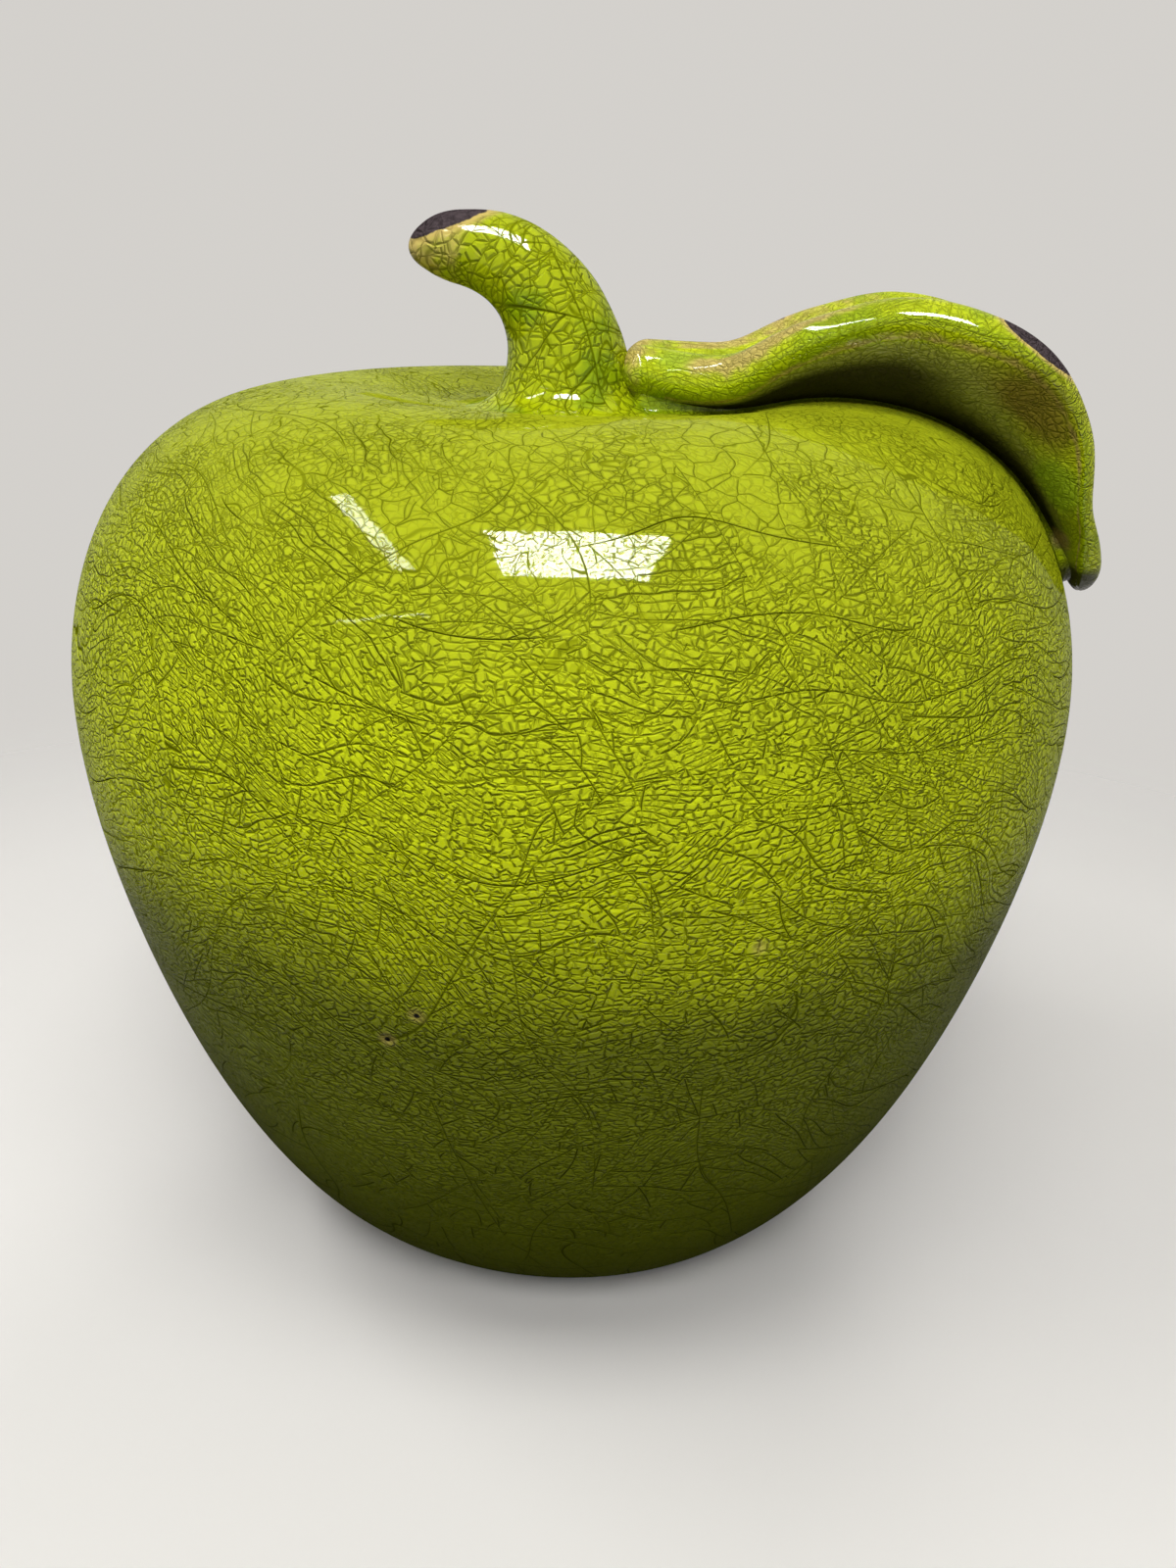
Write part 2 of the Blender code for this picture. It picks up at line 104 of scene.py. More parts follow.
TILT_SHARE = 0.22
STALK_LIFT_SHARE = 0.2
TIP_LIFT_SHARE = 0.2
STALK_FOLD = 1.5
TIP_FOLD = 3.0
CUP_SHAPE = (
    (0.0, 0.1),
    (0.1, 0.12),
    (0.2, 0.22),
    (0.34, 0.62),
    (0.45, 0.94),
    (0.54, 1.0),
    (0.63, 0.93),
    (0.73, 0.52),
    (0.8, 0.18),
    (0.87, 0.02),
    (1.0, 0.0),
)
RIM_SHAPE = (
    (0.0, 1.0),
    (0.5, 1.0),
    (0.62, 0.8),
    (0.72, 0.55),
    (0.85, 0.5),
    (0.93, 0.8),
    (1.0, 1.0),
)
LEAF_END = LEAF_START + LEAF_LENGTH

# The glazed leaf runs into the stem by this much, its keel sinks into the glaze of the body by
# this much, and the lower corner of its rim is squarer than a half circle
STALK_SINK = 0.0045
KEEL_SINK = 0.0006
RIM_CORNER = 0.6

# Slip between the leaf and the body: its half width as a share of the leaf's, and how it spreads
SEAT_STALK = 0.95
SEAT_STALK_SHARE = 0.16
SEAT_TIP = 0.9
SEAT_TIP_SHARE = 0.12
SEAT_KEEL = 0.0035
SEAT_SPREAD = 0.8
SEAT_MOST = 0.003
SEAT_OVERLAP = 0.0005

# Fineness of the skins, and of the outline that the leaf rides on
BODY_SIDES = 264
STEM_SIDES = 96
LEAF_STATIONS = 240
LEAF_END_STEPS = 17
LEAF_ACROSS = 57
EDGE_STEPS = 19
SEAT_STATIONS = 120
SEAT_ACROSS = 21
RIDING_STEPS = (1, 60, 120)
RIDING_POINTS = 240


# Curves


def bezier(start, start_pull, end_pull, end, count):
    t = np.linspace(0.0, 1.0, count + 1)[:, None]
    corners = [np.asarray(p, float) for p in (start, start_pull, end_pull, end)]
    weights = ((1 - t) ** 3, 3 * (1 - t) ** 2 * t, 3 * (1 - t) * t**2, t**3)
    return sum(w * p for w, p in zip(weights, corners))


def chained(*stretches):
    first, *others = stretches
    return np.vstack([first, *(stretch[1:] for stretch in others)])


def distances_along(points):
    steps = np.linalg.norm(np.diff(points, axis=0), axis=1)
    return np.concatenate([[0.0], np.cumsum(steps)])


def left_normals(points):
    along = np.gradient(points, axis=0)
    along /= np.linalg.norm(along, axis=1)[:, None]
    return np.stack([-along[:, 1], along[:, 0]], axis=1)


def smooth_through(points, x):
    """A curve through a few chosen points that never overshoots them."""
    xs, ys = np.array(points, float).T
    slopes = np.gradient(ys, xs)
    steps = np.diff(ys) / np.diff(xs)
    for i in range(1, len(xs) - 1):
        if steps[i - 1] * steps[i] <= 0:
            slopes[i] = 0.0
    i = int(np.clip(np.searchsorted(xs, x) - 1, 0, len(xs) - 2))
    span = xs[i + 1] - xs[i]
    t = (x - xs[i]) / span
    rise = (2 * t**3 - 3 * t**2 + 1) * ys[i] + (3 * t**2 - 2 * t**3) * ys[i + 1]
    return rise + span * ((t**3 - 2 * t**2 + t) * slopes[i] + (t**3 - t**2) * slopes[i + 1])


def rounded_end(distance, length):
    if distance >= length:
        return 1.0
    return math.sqrt(max(0.0, 1.0 - (1.0 - distance / length) ** 2))


# The body's outline, in heights above its foot


def dimple_outline(count):
    pull = DIMPLE_PULL * (CREST_RADIUS - DIMPLE_FLOOR_RADIUS)
    return bezier(
        (DIMPLE_FLOOR_RADIUS, DIMPLE_FLOOR),
        (DIMPLE_FLOOR_RADIUS + pull, DIMPLE_FLOOR),
        (CREST_RADIUS - pull, CREST_HEIGHT),
        (CREST_RADIUS, CREST_HEIGHT),
        count,
    )


def shoulder_outline(count):
    return bezier(
        (CREST_RADIUS, CREST_HEIGHT),
        (CREST_RADIUS + CREST_PULL_OUT * (BODY_RADIUS - CREST_RADIUS), CREST_HEIGHT),
        (BODY_RADIUS, BELLY_HEIGHT + BELLY_PULL_UP * (CREST_HEIGHT - BELLY_HEIGHT)),
        (BODY_RADIUS, BELLY_HEIGHT),
        count,
    )


def lower_outline(count):
    pull = FOOT_PULL * (BODY_RADIUS - FOOT_RADIUS)
    return bezier(
        (BODY_RADIUS, BELLY_HEIGHT),
        (BODY_RADIUS, BELLY_HEIGHT * (1 - BELLY_PULL_DOWN)),
        (FOOT_RADIUS + pull * math.cos(FOOT_ANGLE), pull * math.sin(FOOT_ANGLE)),
        (FOOT_RADIUS, 0.0),
        count,
    )


def top_floor(count):
    radii = np.linspace(0.0, DIMPLE_FLOOR_RADIUS, count + 1)
    return np.stack([radii, np.full_like(radii, DIMPLE_FLOOR)], axis=1)


def body_outline(steps):
    """From the middle of the dimple outwards and down, in as many stretches as there are steps given."""
    stretches = (top_floor, dimple_outline, shoulder_outline, lower_outline)
    return chained(*(stretch(count) for stretch, count in zip(stretches, steps)))


def riding_line():
    """Evenly spaced points on the outline, from the middle of the dimple to the belly."""
    line = body_outline(RIDING_STEPS)
    run = distances_along(line)
    even = np.linspace(0.0, run[-1], RIDING_POINTS)
    return np.stack([np.interp(even, run, line[:, 0]), np.interp(even, run, line[:, 1])], axis=1)


RIDING_LINE = riding_line()
RIDING_RUN = distances_along(RIDING_LINE)
RIDING_NORMALS = left_normals(RIDING_LINE)


def on_line(distance, values):
    return np.array([np.interp(distance, RIDING_RUN, values[:, i]) for i in (0, 1)])


def leaf_point(distance, side, height):
    """A point over the body: this far out along its outline, to the front, and above its surface."""
    radius, z = on_line(distance, RIDING_LINE) + height * on_line(distance, RIDING_NORMALS)
    c, s = math.cos(LEAF_AZIMUTH), math.sin(LEAF_AZIMUTH)
    return (radius * c + side * s, radius * s - side * c, z + SEAT)


def body_height(distance, side):
    """How far the body's round side falls away below the outline this far to the side of it."""
    radius = on_line(distance, RIDING_LINE)[0]
    return -(side**2) * on_line(distance, RIDING_NORMALS)[0] / (2 * radius)


# Leaf sections


def fading(share, span):
    return math.exp(-((share / span) ** 2))


def smooth_step(value, low, high):
    t = min(1.0, max(0.0, (value - low) / (high - low)))
    return t * t * (3 - 2 * t)


def leaf_share(distance):
    return max(0.0, (distance - LEAF_START) / LEAF_LENGTH)


def leaf_sizes(distance):
    """Half width, thickness, cup, lift and sideways tilt of the leaf at this distance along the body."""
    share = leaf_share(distance)
    blade = math.sin(math.pi * share ** (math.log(0.5) / math.log(WIDEST_AT))) if share > 0 else 0.0
    end_width = STALK_HALF_WIDTH + share * (TIP_HALF_WIDTH - STALK_HALF_WIDTH)
    end_thickness = STALK_THICKNESS + share * (TIP_THICKNESS - STALK_THICKNESS)
    half = end_width + blade * (LEAF_HALF_WIDTH - end_width)
    thickness = end_thickness + blade * (LEAF_THICKNESS - end_thickness)
    thickness -= WAIST_THINNER * fading(share - WAIST_AT, WAIST_SHARE)
    cup = LEAF_CUP * smooth_through(CUP_SHAPE, share)
    lift = BLADE_LIFT + (STALK_LIFT - BLADE_LIFT) * fading(share, STALK_LIFT_SHARE)
    lift += (TIP_LIFT - BLADE_LIFT) * fading(1.0 - share, TIP_LIFT_SHARE)
    tilt = STALK_TILT * fading(share, TILT_SHARE)
    return half, thickness, cup, lift, tilt


def edge_round(centre, spoke, back):
    """Round an edge from the spoke to its far side, squarer on the underside."""
    turns = np.linspace(0.0, math.pi, EDGE_STEPS + 2)[1:-1]
    across = np.array([spoke[1], -spoke[0]])
    points = []
    for turn in turns:
        c, s = math.cos(turn), math.sin(turn)
        if (c < 0) != back:
            c, s = math.copysign(abs(c) ** RIM_CORNER, c), s**RIM_CORNER
        points.append(centre + spoke * c + across * s)
    return np.array(points)


def leaf_middle(distance):
    """Sides and heights of a section's middle line, and half its thickness square to that line."""
    half, thickness, cup, lift, tilt = leaf_sizes(distance)
    start = distance - LEAF_START + STALK_SINK
    full = rounded_end(start, STALK_NOSE) * rounded_end(LEAF_END - distance, TIP_NOSE)
    share = leaf_share(distance)
    lobe = fading(share - LOBE_AT, LOBE_SHARE)
    mid = np.linspace(-1.0, 1.0, LEAF_ACROSS)
    thick = thickness * (1.0 - (1.0 - smooth_through(RIM_SHAPE, share)) * mid**2)
    reach = max(half - thick[0] / 2, thick[0] / 8)
    side = full * mid * reach - lobe * full * LOBE_WIDTH * (mid < 0) * mid**2
    fold = STALK_FOLD + share * (TIP_FOLD - STALK_FOLD)
    rise = cup * np.abs(mid) ** fold + lobe * LOBE_LIFT * (mid < 0) * mid**2
    height = lift + thickness - thick / 2 + full * rise - tilt * side
    slope = np.gradient(height, side)
    normal = np.stack([-slope, np.ones_like(slope)], axis=1)
    normal /= np.linalg.norm(normal, axis=1)[:, None]
    return np.stack([side, height], axis=1), full * thick[:, None] / 2 * normal


def leaf_section(distance):
    """The sides and heights of one closed section: its top, front edge, underside and back edge."""
    middle, skin = leaf_middle(distance)
    sink = KEEL_SINK * (1 - np.linspace(-1, 1, LEAF_ACROSS) ** 2)
    keel = np.stack([np.zeros(LEAF_ACROSS), sink], axis=1)
    under = (middle - skin - keel)[::-1]
    front = edge_round(middle[-1], skin[-1], False)
    back = edge_round(middle[0], -skin[0], True)
    return np.vstack([middle + skin, front, under, back])


def leaf_underside(distance, side):
    middle, skin = leaf_middle(distance)
    under = middle - skin
    return np.interp(side, under[:, 0], under[:, 1])


def leaf_stations():
    """Distances of the leaf's sections, close together over its round ends."""
    turns = np.linspace(0.0, math.pi / 2, LEAF_END_STEPS)[1:]
    start = LEAF_START - STALK_SINK
    nose = start + STALK_NOSE * (1 - np.cos(turns))
    tip = LEAF_END - TIP_NOSE * (1 - np.cos(turns))[::-1]
    return np.concatenate([nose, np.linspace(nose[-1], tip[0], LEAF_STATIONS)[1:-1], tip])


# Meshes


def new_piece(name, points, faces, material):
    mesh = bpy.data.meshes.new(name)
    mesh.from_pydata(points, [], faces)
    mesh.materials.append(material)
    mesh.shade_smooth()
    mesh.update()
    obj = bpy.data.objects.new(name, mesh)
    bpy.context.scene.collection.objects.link(obj)
    return obj


def skinned(rings, poles):
    """Points and faces of a skin over closed rings, with each end closed on a pole."""
    count = len(rings[0])
    points = [tuple(p) for ring in rings for p in ring]
    faces = []
    for r in range(len(rings) - 1):
        base = r * count
        for i in range(count):
            j = (i + 1) % count
            faces.append((base + i, base + j, base + count + j, base + count + i))
    for base, pole, flip in ((0, poles[0], True), ((len(rings) - 1) * count, poles[1], False)):
        top = len(points)
        points.append(tuple(pole))
        for i in range(count):
            j = (i + 1) % count
            faces.append((base + j, base + i, top) if flip else (base + i, base + j, top))
    return points, faces


def ripple(points, size, depth, seed):
    """How far hand work pulls each point in, smoothly from 0 to the given depth."""
    offset = Vector((seed, seed * 0.7, -seed))
    return np.array([depth * 0.5 * (noise.noise(Vector(p) / size + offset) - 1.0) for p in points])


# Materials


class Nodes:
    """Adds nodes to one tree and joins them up."""

    def __init__(self, tree):
        self.tree = tree

    def add(self, kind, sockets=None, **settings):
        node = self.tree.nodes.new(kind)
        for key, value in settings.items():
            setattr(node, key, value)
        for key, value in (sockets or {}).items():
            self.feed(node.inputs[key], value)
        return node

    def feed(self, socket, value):
        if isinstance(value, bpy.types.NodeSocket):
            self.tree.links.new(value, socket)
        else:
            socket.default_value = value

    def math(self, operation, *values):
        return self.add("ShaderNodeMath", dict(enumerate(values)), operation=operation).outputs[0]

    def vector(self, operation, *values, scale=None):
        sockets = dict(enumerate(values))
        if scale is not None:
            sockets["Scale"] = scale
        node = self.add("ShaderNodeVectorMath", sockets, operation=operation)
        return node.outputs["Value" if operation in ("LENGTH", "DOT_PRODUCT") else "Vector"]

    def ramp(self, value, low, high, start=0.0, end=1.0):
        """A smooth step from start to end as value goes from low to high."""
        sockets = {"Value": value, "From Min": low, "From Max": high, "To Min": start, "To Max": end}
        return self.add("ShaderNodeMapRange", sockets, interpolation_type="SMOOTHSTEP").outputs[0]

    def blend(self, factor, first, second):
        node = self.add("ShaderNodeMix", data_type="RGBA", clamp_factor=True)
        self.feed(node.inputs[0], factor)
        self.feed(node.inputs[6], first)
        self.feed(node.inputs[7], second)
        return node.outputs[2]

    def noise(self, place, size, detail=2.0, roughness=0.5, shift=0.0, colour=False):
        moved = self.vector("ADD", place, (shift, -shift, 0.5 * shift)) if shift else place
        sockets = {"Vector": moved, "Scale": 1.0 / size, "Detail": detail, "Roughness": roughness}
        return self.add("ShaderNodeTexNoise", sockets).outputs["Color" if colour else "Fac"]

    def swing(self, value, reach):
        """A value from 0 to 1 made to go from minus to plus half of reach."""
        return self.math("MULTIPLY", self.math("SUBTRACT", value, 0.5), reach)

    def warped(self, place, size, reach, shift=0.0):
        """The place, pushed about by up to half of reach."""
        push = self.noise(place, size, 1.0, shift=shift, colour=True)
        centred = self.vector("SUBTRACT", push, (0.5, 0.5, 0.5))
        return self.vector("ADD", place, self.vector("SCALE", centred, scale=reach))

    def split(self, vector):
        return self.add("ShaderNodeSeparateXYZ", {"Vector": vector}).outputs

    def join(self, x, y, z):
        return self.add("ShaderNodeCombineXYZ", {"X": x, "Y": y, "Z": z}).outputs[0]

    def chance(self, seed):
        """A random colour that is the same all over where the seed is the same."""
        return self.add("ShaderNodeTexWhiteNoise", {"Vector": seed}, noise_dimensions="3D").outputs["Color"]

    def facing(self, direction):
        """How squarely layers across this direction cut the surface, from 0 to 1."""
        normal = self.add("ShaderNodeTexCoord").outputs["Normal"]
        along = self.vector("DOT_PRODUCT", normal, direction)
        return self.math("SQRT", self.math("SUBTRACT", 1.02, self.math("MULTIPLY", along, along)))

    def cut(self, distance, strength, direction):
        """Where layers across this direction cut the surface: distance along it, and strength."""
        square = self.facing(direction)
        shown = self.math("MULTIPLY", strength, self.ramp(square, *SQUARE_ENOUGH))
        return self.math("DIVIDE", distance, square), shown

    def layers(self, across, spacing):
        """Distance from the nearest of many parallel layers, its number and the number of the gap."""
        count = self.math("DIVIDE", across, spacing)
        nearest = self.math("ROUND", count)
        away = self.math("ABSOLUTE", self.math("SUBTRACT", count, nearest))
        return self.math("MULTIPLY", away, spacing), nearest, self.math("FLOOR", count)

    def cell_edges(self, place, size):
        """Distance from the edges of cells of about this size."""
        sockets = {"Vector": place, "Scale": 1.0 / size}
        cells = self.add("ShaderNodeTexVoronoi", sockets, feature="DISTANCE_TO_EDGE")
        return self.math("MULTIPLY", cells.outputs["Distance"], size)

    def seen(self):
        """1 for what the camera, a reflection or a clear surface shows, and 0 for light on things."""
        ray = self.add("ShaderNodeLightPath").outputs
        through = self.math("MAXIMUM", ray["Is Glossy Ray"], ray["Is Transmission Ray"])
        return self.math("MAXIMUM", ray["Is Camera Ray"], through)


class MaterialNodes(Nodes):
    """The nodes of one new material, which has a shader and an output to begin with."""

    def __init__(self, name):
        self.material = bpy.data.materials.new(name)
        self.material.use_nodes = True
        super().__init__(self.material.node_tree)
        self.shader = self.tree.nodes["Principled BSDF"]
        self.output = self.tree.nodes["Material Output"]

    def place(self):
        """The place on the object in metres, and in millimetres."""
        place_m = self.add("ShaderNodeTexCoord").outputs["Object"]
        return place_m, self.vector("SCALE", place_m, scale=1.0 / MILLIMETRE)

    def mask(self, name):
        return self.add("ShaderNodeAttribute", attribute_name=name).outputs["Fac"]

    def bump(self, socket_name, height, strength, distance):
        """Relief for one of the shader's normals: heights up to 1 stand for this distance."""
        sockets = {"Height": height, "Strength": strength, "Distance": distance}
        self.feed(self.shader.inputs[socket_name], self.add("ShaderNodeBump", sockets).outputs[0])


# The crackle, in millimetres

# Layers that the long cracks and the arcs follow: the way they lie across, and their spacing
LONG_CRACKS = (
    ((0.06, 0.05, 1.0), 15.0),
    ((0.84, 0.30, 0.30), 25.0),
    ((-0.66, 0.30, 0.60), 29.0),
)
ARCS = (
    ((0.25, 0.20, 1.0), 7.0),
    ((0.85, 0.30, 0.45), 10.0),
    ((-0.75, 0.30, 0.65), 11.0),
)
NET_CELL = 6.5
ROW_SPACING = 1.65
CROSSING_CELL = 2.0

# Swirls that bend the cracks: their size, and how far apart they push two places at most
LONG_SWAY = (74.0, 58.0)
ARC_SWAY = (44.0, 40.0)
NET_SWAY = (9.0, 7.0)

# How far the pattern may jump from one gap between longer cracks to the next
ARC_JUMP = 60.0
NET_JUMP = 50.0
ROW_JUMP = 40.0
CROSSING_JUMP = 90.0

# Layers that lie nearly along the surface aren't shown, because they would cut it in blots
SQUARE_ENOUGH = (0.25, 0.55)

# Between these heights the wide net takes over from the arcs
ARC_FADE = (165.0, 200.0)
NET_FADE = (150.0, 195.0)

# Rows get closer below this height, by this much for each square millimetre further down
ROWS_CLOSE_BELOW = 150.0
ROWS_CLOSER = 0.0022

# Between which heights the small cracks get fainter by the top and by the foot, and what is left
TOP_FAINT = (216.0, 184.0, 0.35)
FOOT_FAINT = (35.0, 110.0, 0.55)
TOP_WANDER = 110.0

# How each kind of crack shows: its line is dark up to the first distance from its middle and gone
# at the second, then come its darkness, and the depth and half width of its groove
LONG_LOOK = (0.05, 0.19, 1.0, 0.40, 0.46)
ARC_LOOK = (0.05, 0.17, 0.86, 0.46, 0.42)
NET_LOOK = (0.04, 0.15, 0.90, 0.40, 0.40)
ROW_LOOK = (0.03, 0.15, 0.84, 0.60, 0.42)
CROSSING_LOOK = (0.02, 0.13, 0.74, 0.56, 0.38)
LONG_SHARES = (1.0, 0.75, 0.75)


def long_cracks(n, place):
    """Long cracks of three families, and which gap of each a place lies in, and how far across."""
    bent = n.warped(place, *LONG_SWAY)
    strengths = n.split(n.noise(place, 30.0, 1.0, shift=50.0, colour=True))
    cracks = []
    gaps = []
    acrosses = []
    for (direction, spacing), strength in zip(LONG_CRACKS, strengths):
        direction = tuple(Vector(direction).normalized())
        across = n.vector("DOT_PRODUCT", bent, direction)
        distance, _, gap = n.layers(across, spacing)
        cracks.append(n.cut(distance, n.ramp(strength, 0.40, 0.52), direction))
        gaps.append(gap)
        acrosses.append(across)
    return cracks, gaps, acrosses


def arcs(n, place, height, jump):
    """Curved cracks that stop where they meet a long one or an earlier family of arcs."""
    curved = n.warped(place, *ARC_SWAY, shift=80.0)
    fade = n.ramp(height, *ARC_FADE, 1.0, 0.6)
    cracks = []
    for direction, spacing in ARCS:
        direction = tuple(Vector(direction).normalized())
        across = n.vector("DOT_PRODUCT", curved, direction)
        across = n.math("ADD", across, n.math("MULTIPLY", jump, ARC_JUMP))
        distance, number, gap = n.layers(across, spacing)
        luck = n.split(n.chance(n.join(number, jump, 5.0)))[0]
        strength = n.math("MULTIPLY", n.ramp(luck, 0.26, 0.68), fade)
        cracks.append(n.cut(distance, strength, direction))
        jump = n.split(n.chance(n.join(gap, jump, spacing)))[1]
    return cracks


def wide_net(n, place, height, jumps):
    """A net of wide cells above the belly, which breaks off at the long cracks."""
    jumped = n.vector("ADD", place, n.vector("SCALE", n.join(*jumps), scale=NET_JUMP))
    edges = n.cell_edges(n.warped(jumped, *NET_SWAY, shift=44.0), NET_CELL)
    return edges, n.ramp(height, *NET_FADE, 0.25, 0.75)


def rows_and_crossings(n, place, height, jumps, gaps, acrosses):
    """Rows of small cracks that slant another way in each gap, and smaller cracks between them."""
    below = n.math("MAXIMUM", n.math("SUBTRACT", ROWS_CLOSE_BELOW, height), 0.0)
    closer = n.math("MULTIPLY", n.math("POWER", below, 2.0), ROWS_CLOSER)
    slant = n.swing(jumps[2], 1.6)
    wave = n.swing(n.noise(place, 17.0, 2.0, 0.45, shift=3.0), 10.0)
    flow = n.math("ADD", acrosses[0], n.math("MULTIPLY", slant, acrosses[1]))
    flow = n.math("ADD", n.math("SUBTRACT", flow, closer), wave)
    flow = n.math("ADD", flow, n.math("MULTIPLY", jumps[0], ROW_JUMP))
    distance, number, row = n.layers(flow, ROW_SPACING)
    luck = n.split(n.chance(n.join(number, gaps[1], gaps[2])))[0]
    broken = n.noise(place, 3.0, 1.0, shift=23.0)
    whole_rows = n.ramp(luck, 0.84, 0.88)
    broken_rows = n.math("MULTIPLY", n.ramp(broken, 0.44, 0.52), 0.65)
    rows = (distance, n.math("MAXIMUM", whole_rows, broken_rows))

    jump = n.vector("SCALE", n.chance(n.join(row, jumps[1], gaps[2])), scale=CROSSING_JUMP)
    edges = n.cell_edges(n.vector("ADD", place, jump), CROSSING_CELL)
    return [rows, (edges, n.ramp(broken, 0.62, 0.46, 0.45, 0.9))]


def crackle(n, place, height):
    """Long cracks and arcs all over, a wide net above the belly, and rows of small crossed cracks.

    Each is a pair: distance from its middle in millimetres, and how strong it is there.
    """
    cracks, gaps, acrosses = long_cracks(n, place)
    jumps = n.split(n.chance(n.join(*gaps)))
    cracks += arcs(n, place, height, jumps[0])
    cracks.append(wide_net(n, place, height, jumps))
    return cracks + rows_and_crossings(n, place, height, jumps, gaps, acrosses)


def crack_marks(n, cracks, looks):
    """How dark the cracks' lines make each place, and how low their grooves lie there."""
    dark = None
    raised = None
    for (distance, strength), (look, share) in zip(cracks, looks):
        inner, outer, darkness, depth, width = look
        shown = n.math("MULTIPLY", strength, share)
        line = n.math("MULTIPLY", n.ramp(distance, inner, outer, darkness, 0.0), shown)
        groove = n.math("MULTIPLY", n.ramp(distance, 0.0, width, -depth, 0.0), shown)
        dark = line if dark is None else n.math("MAXIMUM", dark, line)
        raised = groove if raised is None else n.math("MINIMUM", raised, groove)
    return dark, raised


# The glaze

GLAZE = (0.50, 0.575, 0.006, 1.0)
DEEP = (0.33, 0.40, 0.005, 1.0)
# Painted shade on the body: its top darkened against the lamps, its lower side and foot darkened as if in
# shade
TOP_PAINTED_SHADE = (0.315, 0.358, 0.011, 1.0)
LOW_PAINTED_SHADE = (0.150, 0.176, 0.006, 1.0)
FOOT_PAINTED_SHADE = (0.085, 0.10, 0.003, 1.0)
STEM_GLAZE = (0.36, 0.42, 0.004, 1.0)
POOLED = (0.13, 0.25, 0.002, 1.0)
THIN = (0.50, 0.38, 0.11, 1.0)
# Painted shade under the leaf's lip
LEAF_PAINTED_SHADE = (0.30, 0.31, 0.055, 1.0)
BROWN = (0.17, 0.115, 0.018, 1.0)
TAN = (0.42, 0.30, 0.11, 1.0)
BRIGHT_GREEN = (0.33, 0.46, 0.018, 1.0)
# Near black painted shade deep under the leaf's lip, and also the real dark slip at the leaf's tip
DARK_SLIP_AND_SHADE = (0.042, 0.038, 0.014, 1.0)
CRACK = (0.038, 0.045, 0.001, 1.0)
CLAY = (0.068, 0.052, 0.056, 1.0)
CLAY_GRIT = (0.040, 0.031, 0.033, 1.0)
PALE_CLAY = (0.13, 0.10, 0.095, 1.0)
WARM_CLAY = (0.18, 0.13, 0.10, 1.0)
PINHOLE = (0.006, 0.005, 0.004, 1.0)
FELT = (0.035, 0.035, 0.033, 1.0)
PALE_FELT = (0.11, 0.11, 0.10, 1.0)

# Painted shade on the body's glaze: a darker top that offsets the lamps, and darker below the belly where
# shade falls; between which heights each comes in, and its most
BODY_PAINTED_SHADES = (
    ((140.0, 204.0), 0.9, TOP_PAINTED_SHADE),
    ((133.0, 92.0), 1.0, LOW_PAINTED_SHADE),
    ((88.0, 25.0), 1.0, FOOT_PAINTED_SHADE),
)
PAINTED_SHADE_WANDER = 26.0

# Strength of the clear top layer; the fine crackle dulls it most on the body
BODY_SHINE = 0.28
STEM_SHINE = 0.45
LEAF_SHINE = 0.6

# Heights between which that layer gets clearer, and its share of the strength at the lower one
SHINE_RISE = (30.0, 145.0)
FOOT_SHINE = 0.1

GLAZE_ROUGHNESS = 0.34
CLAY_ROUGHER = 0.3
COAT_ROUGHNESS = 0.04
COAT_IOR = 1.45
MILLIMETRE = 0.001

# What the skins of the stem and leaf say of each of their points, from 0 to 1: pooled glaze, thin glaze and
# painted shade
MASKS = ("pool", "thin", "shade")


def near_spots(n, place_m, spots, wobble):
    """How near the closest of some ellipsoids is: below 1 inside it.

    Each has a centre, radii and a turn about the line of sight.
    """
    nearest = None
    for centre, radii, turn in spots:
        near = n.vector("SUBTRACT", place_m, centre)
        if turn:
            sockets = {"Vector": near, "Angle": turn}
            near = n.add("ShaderNodeVectorRotate", sockets, rotation_type="Y_AXIS").outputs[0]
        away = n.vector("LENGTH", n.vector("DIVIDE", near, radii))
        nearest = away if nearest is None else n.math("MINIMUM", nearest, away)
    return n.math("ADD", nearest, wobble)


def hand_made_colour_and_shade(n, place, colour):
    """Glaze of the stem and leaf, which pools and runs thin where the masks say, with painted shade where
    the shade mask says.
    """
    pool, thin, shade = [n.mask(name) for name in MASKS]
    thin = n.math("ADD", thin, n.swing(n.noise(place, 3.5, 3.0, shift=5.0), 0.9))
    green_cloud = n.ramp(n.noise(place, 14.0, shift=71.0), 0.46, 0.66, 0.0, 0.55)
    colour = n.blend(n.math("MAXIMUM", pool, green_cloud), colour, POOLED)
    # Painted shade under the leaf's lip: olive, then near black towards the body
    colour = n.blend(n.ramp(shade, 0.0, 0.5), colour, LEAF_PAINTED_SHADE)
    colour = n.blend(n.ramp(shade, 0.45, 1.0), colour, DARK_SLIP_AND_SHADE)
    return n.blend(n.ramp(thin, 0.30, 0.85, 0.0, 0.9), colour, THIN)


def body_colour_and_shade(n, height, cloud, colour):
    """Glaze of the body with painted shade: a darker top that offsets the lamps, and darker below the belly
    where shade falls.
    """
    wavy = n.math("ADD", height, n.swing(cloud, PAINTED_SHADE_WANDER))
    for heights, most, tint in BODY_PAINTED_SHADES:
        colour = n.blend(n.ramp(wavy, *heights, 0.0, most), colour, tint)
    return colour


def stained(n, place, place_m, stains, colour):
    """Blotches of other colours, with ragged soft edges."""
    blot = n.swing(n.noise(place, 5.0, shift=31.0), 0.6)
    for tint, spot, softness in stains:
        near = near_spots(n, place_m, (spot,), blot)
        colour = n.blend(n.ramp(near, 1.0 - softness, 1.0 + softness, 0.9, 0.0), colour, tint)
    return colour


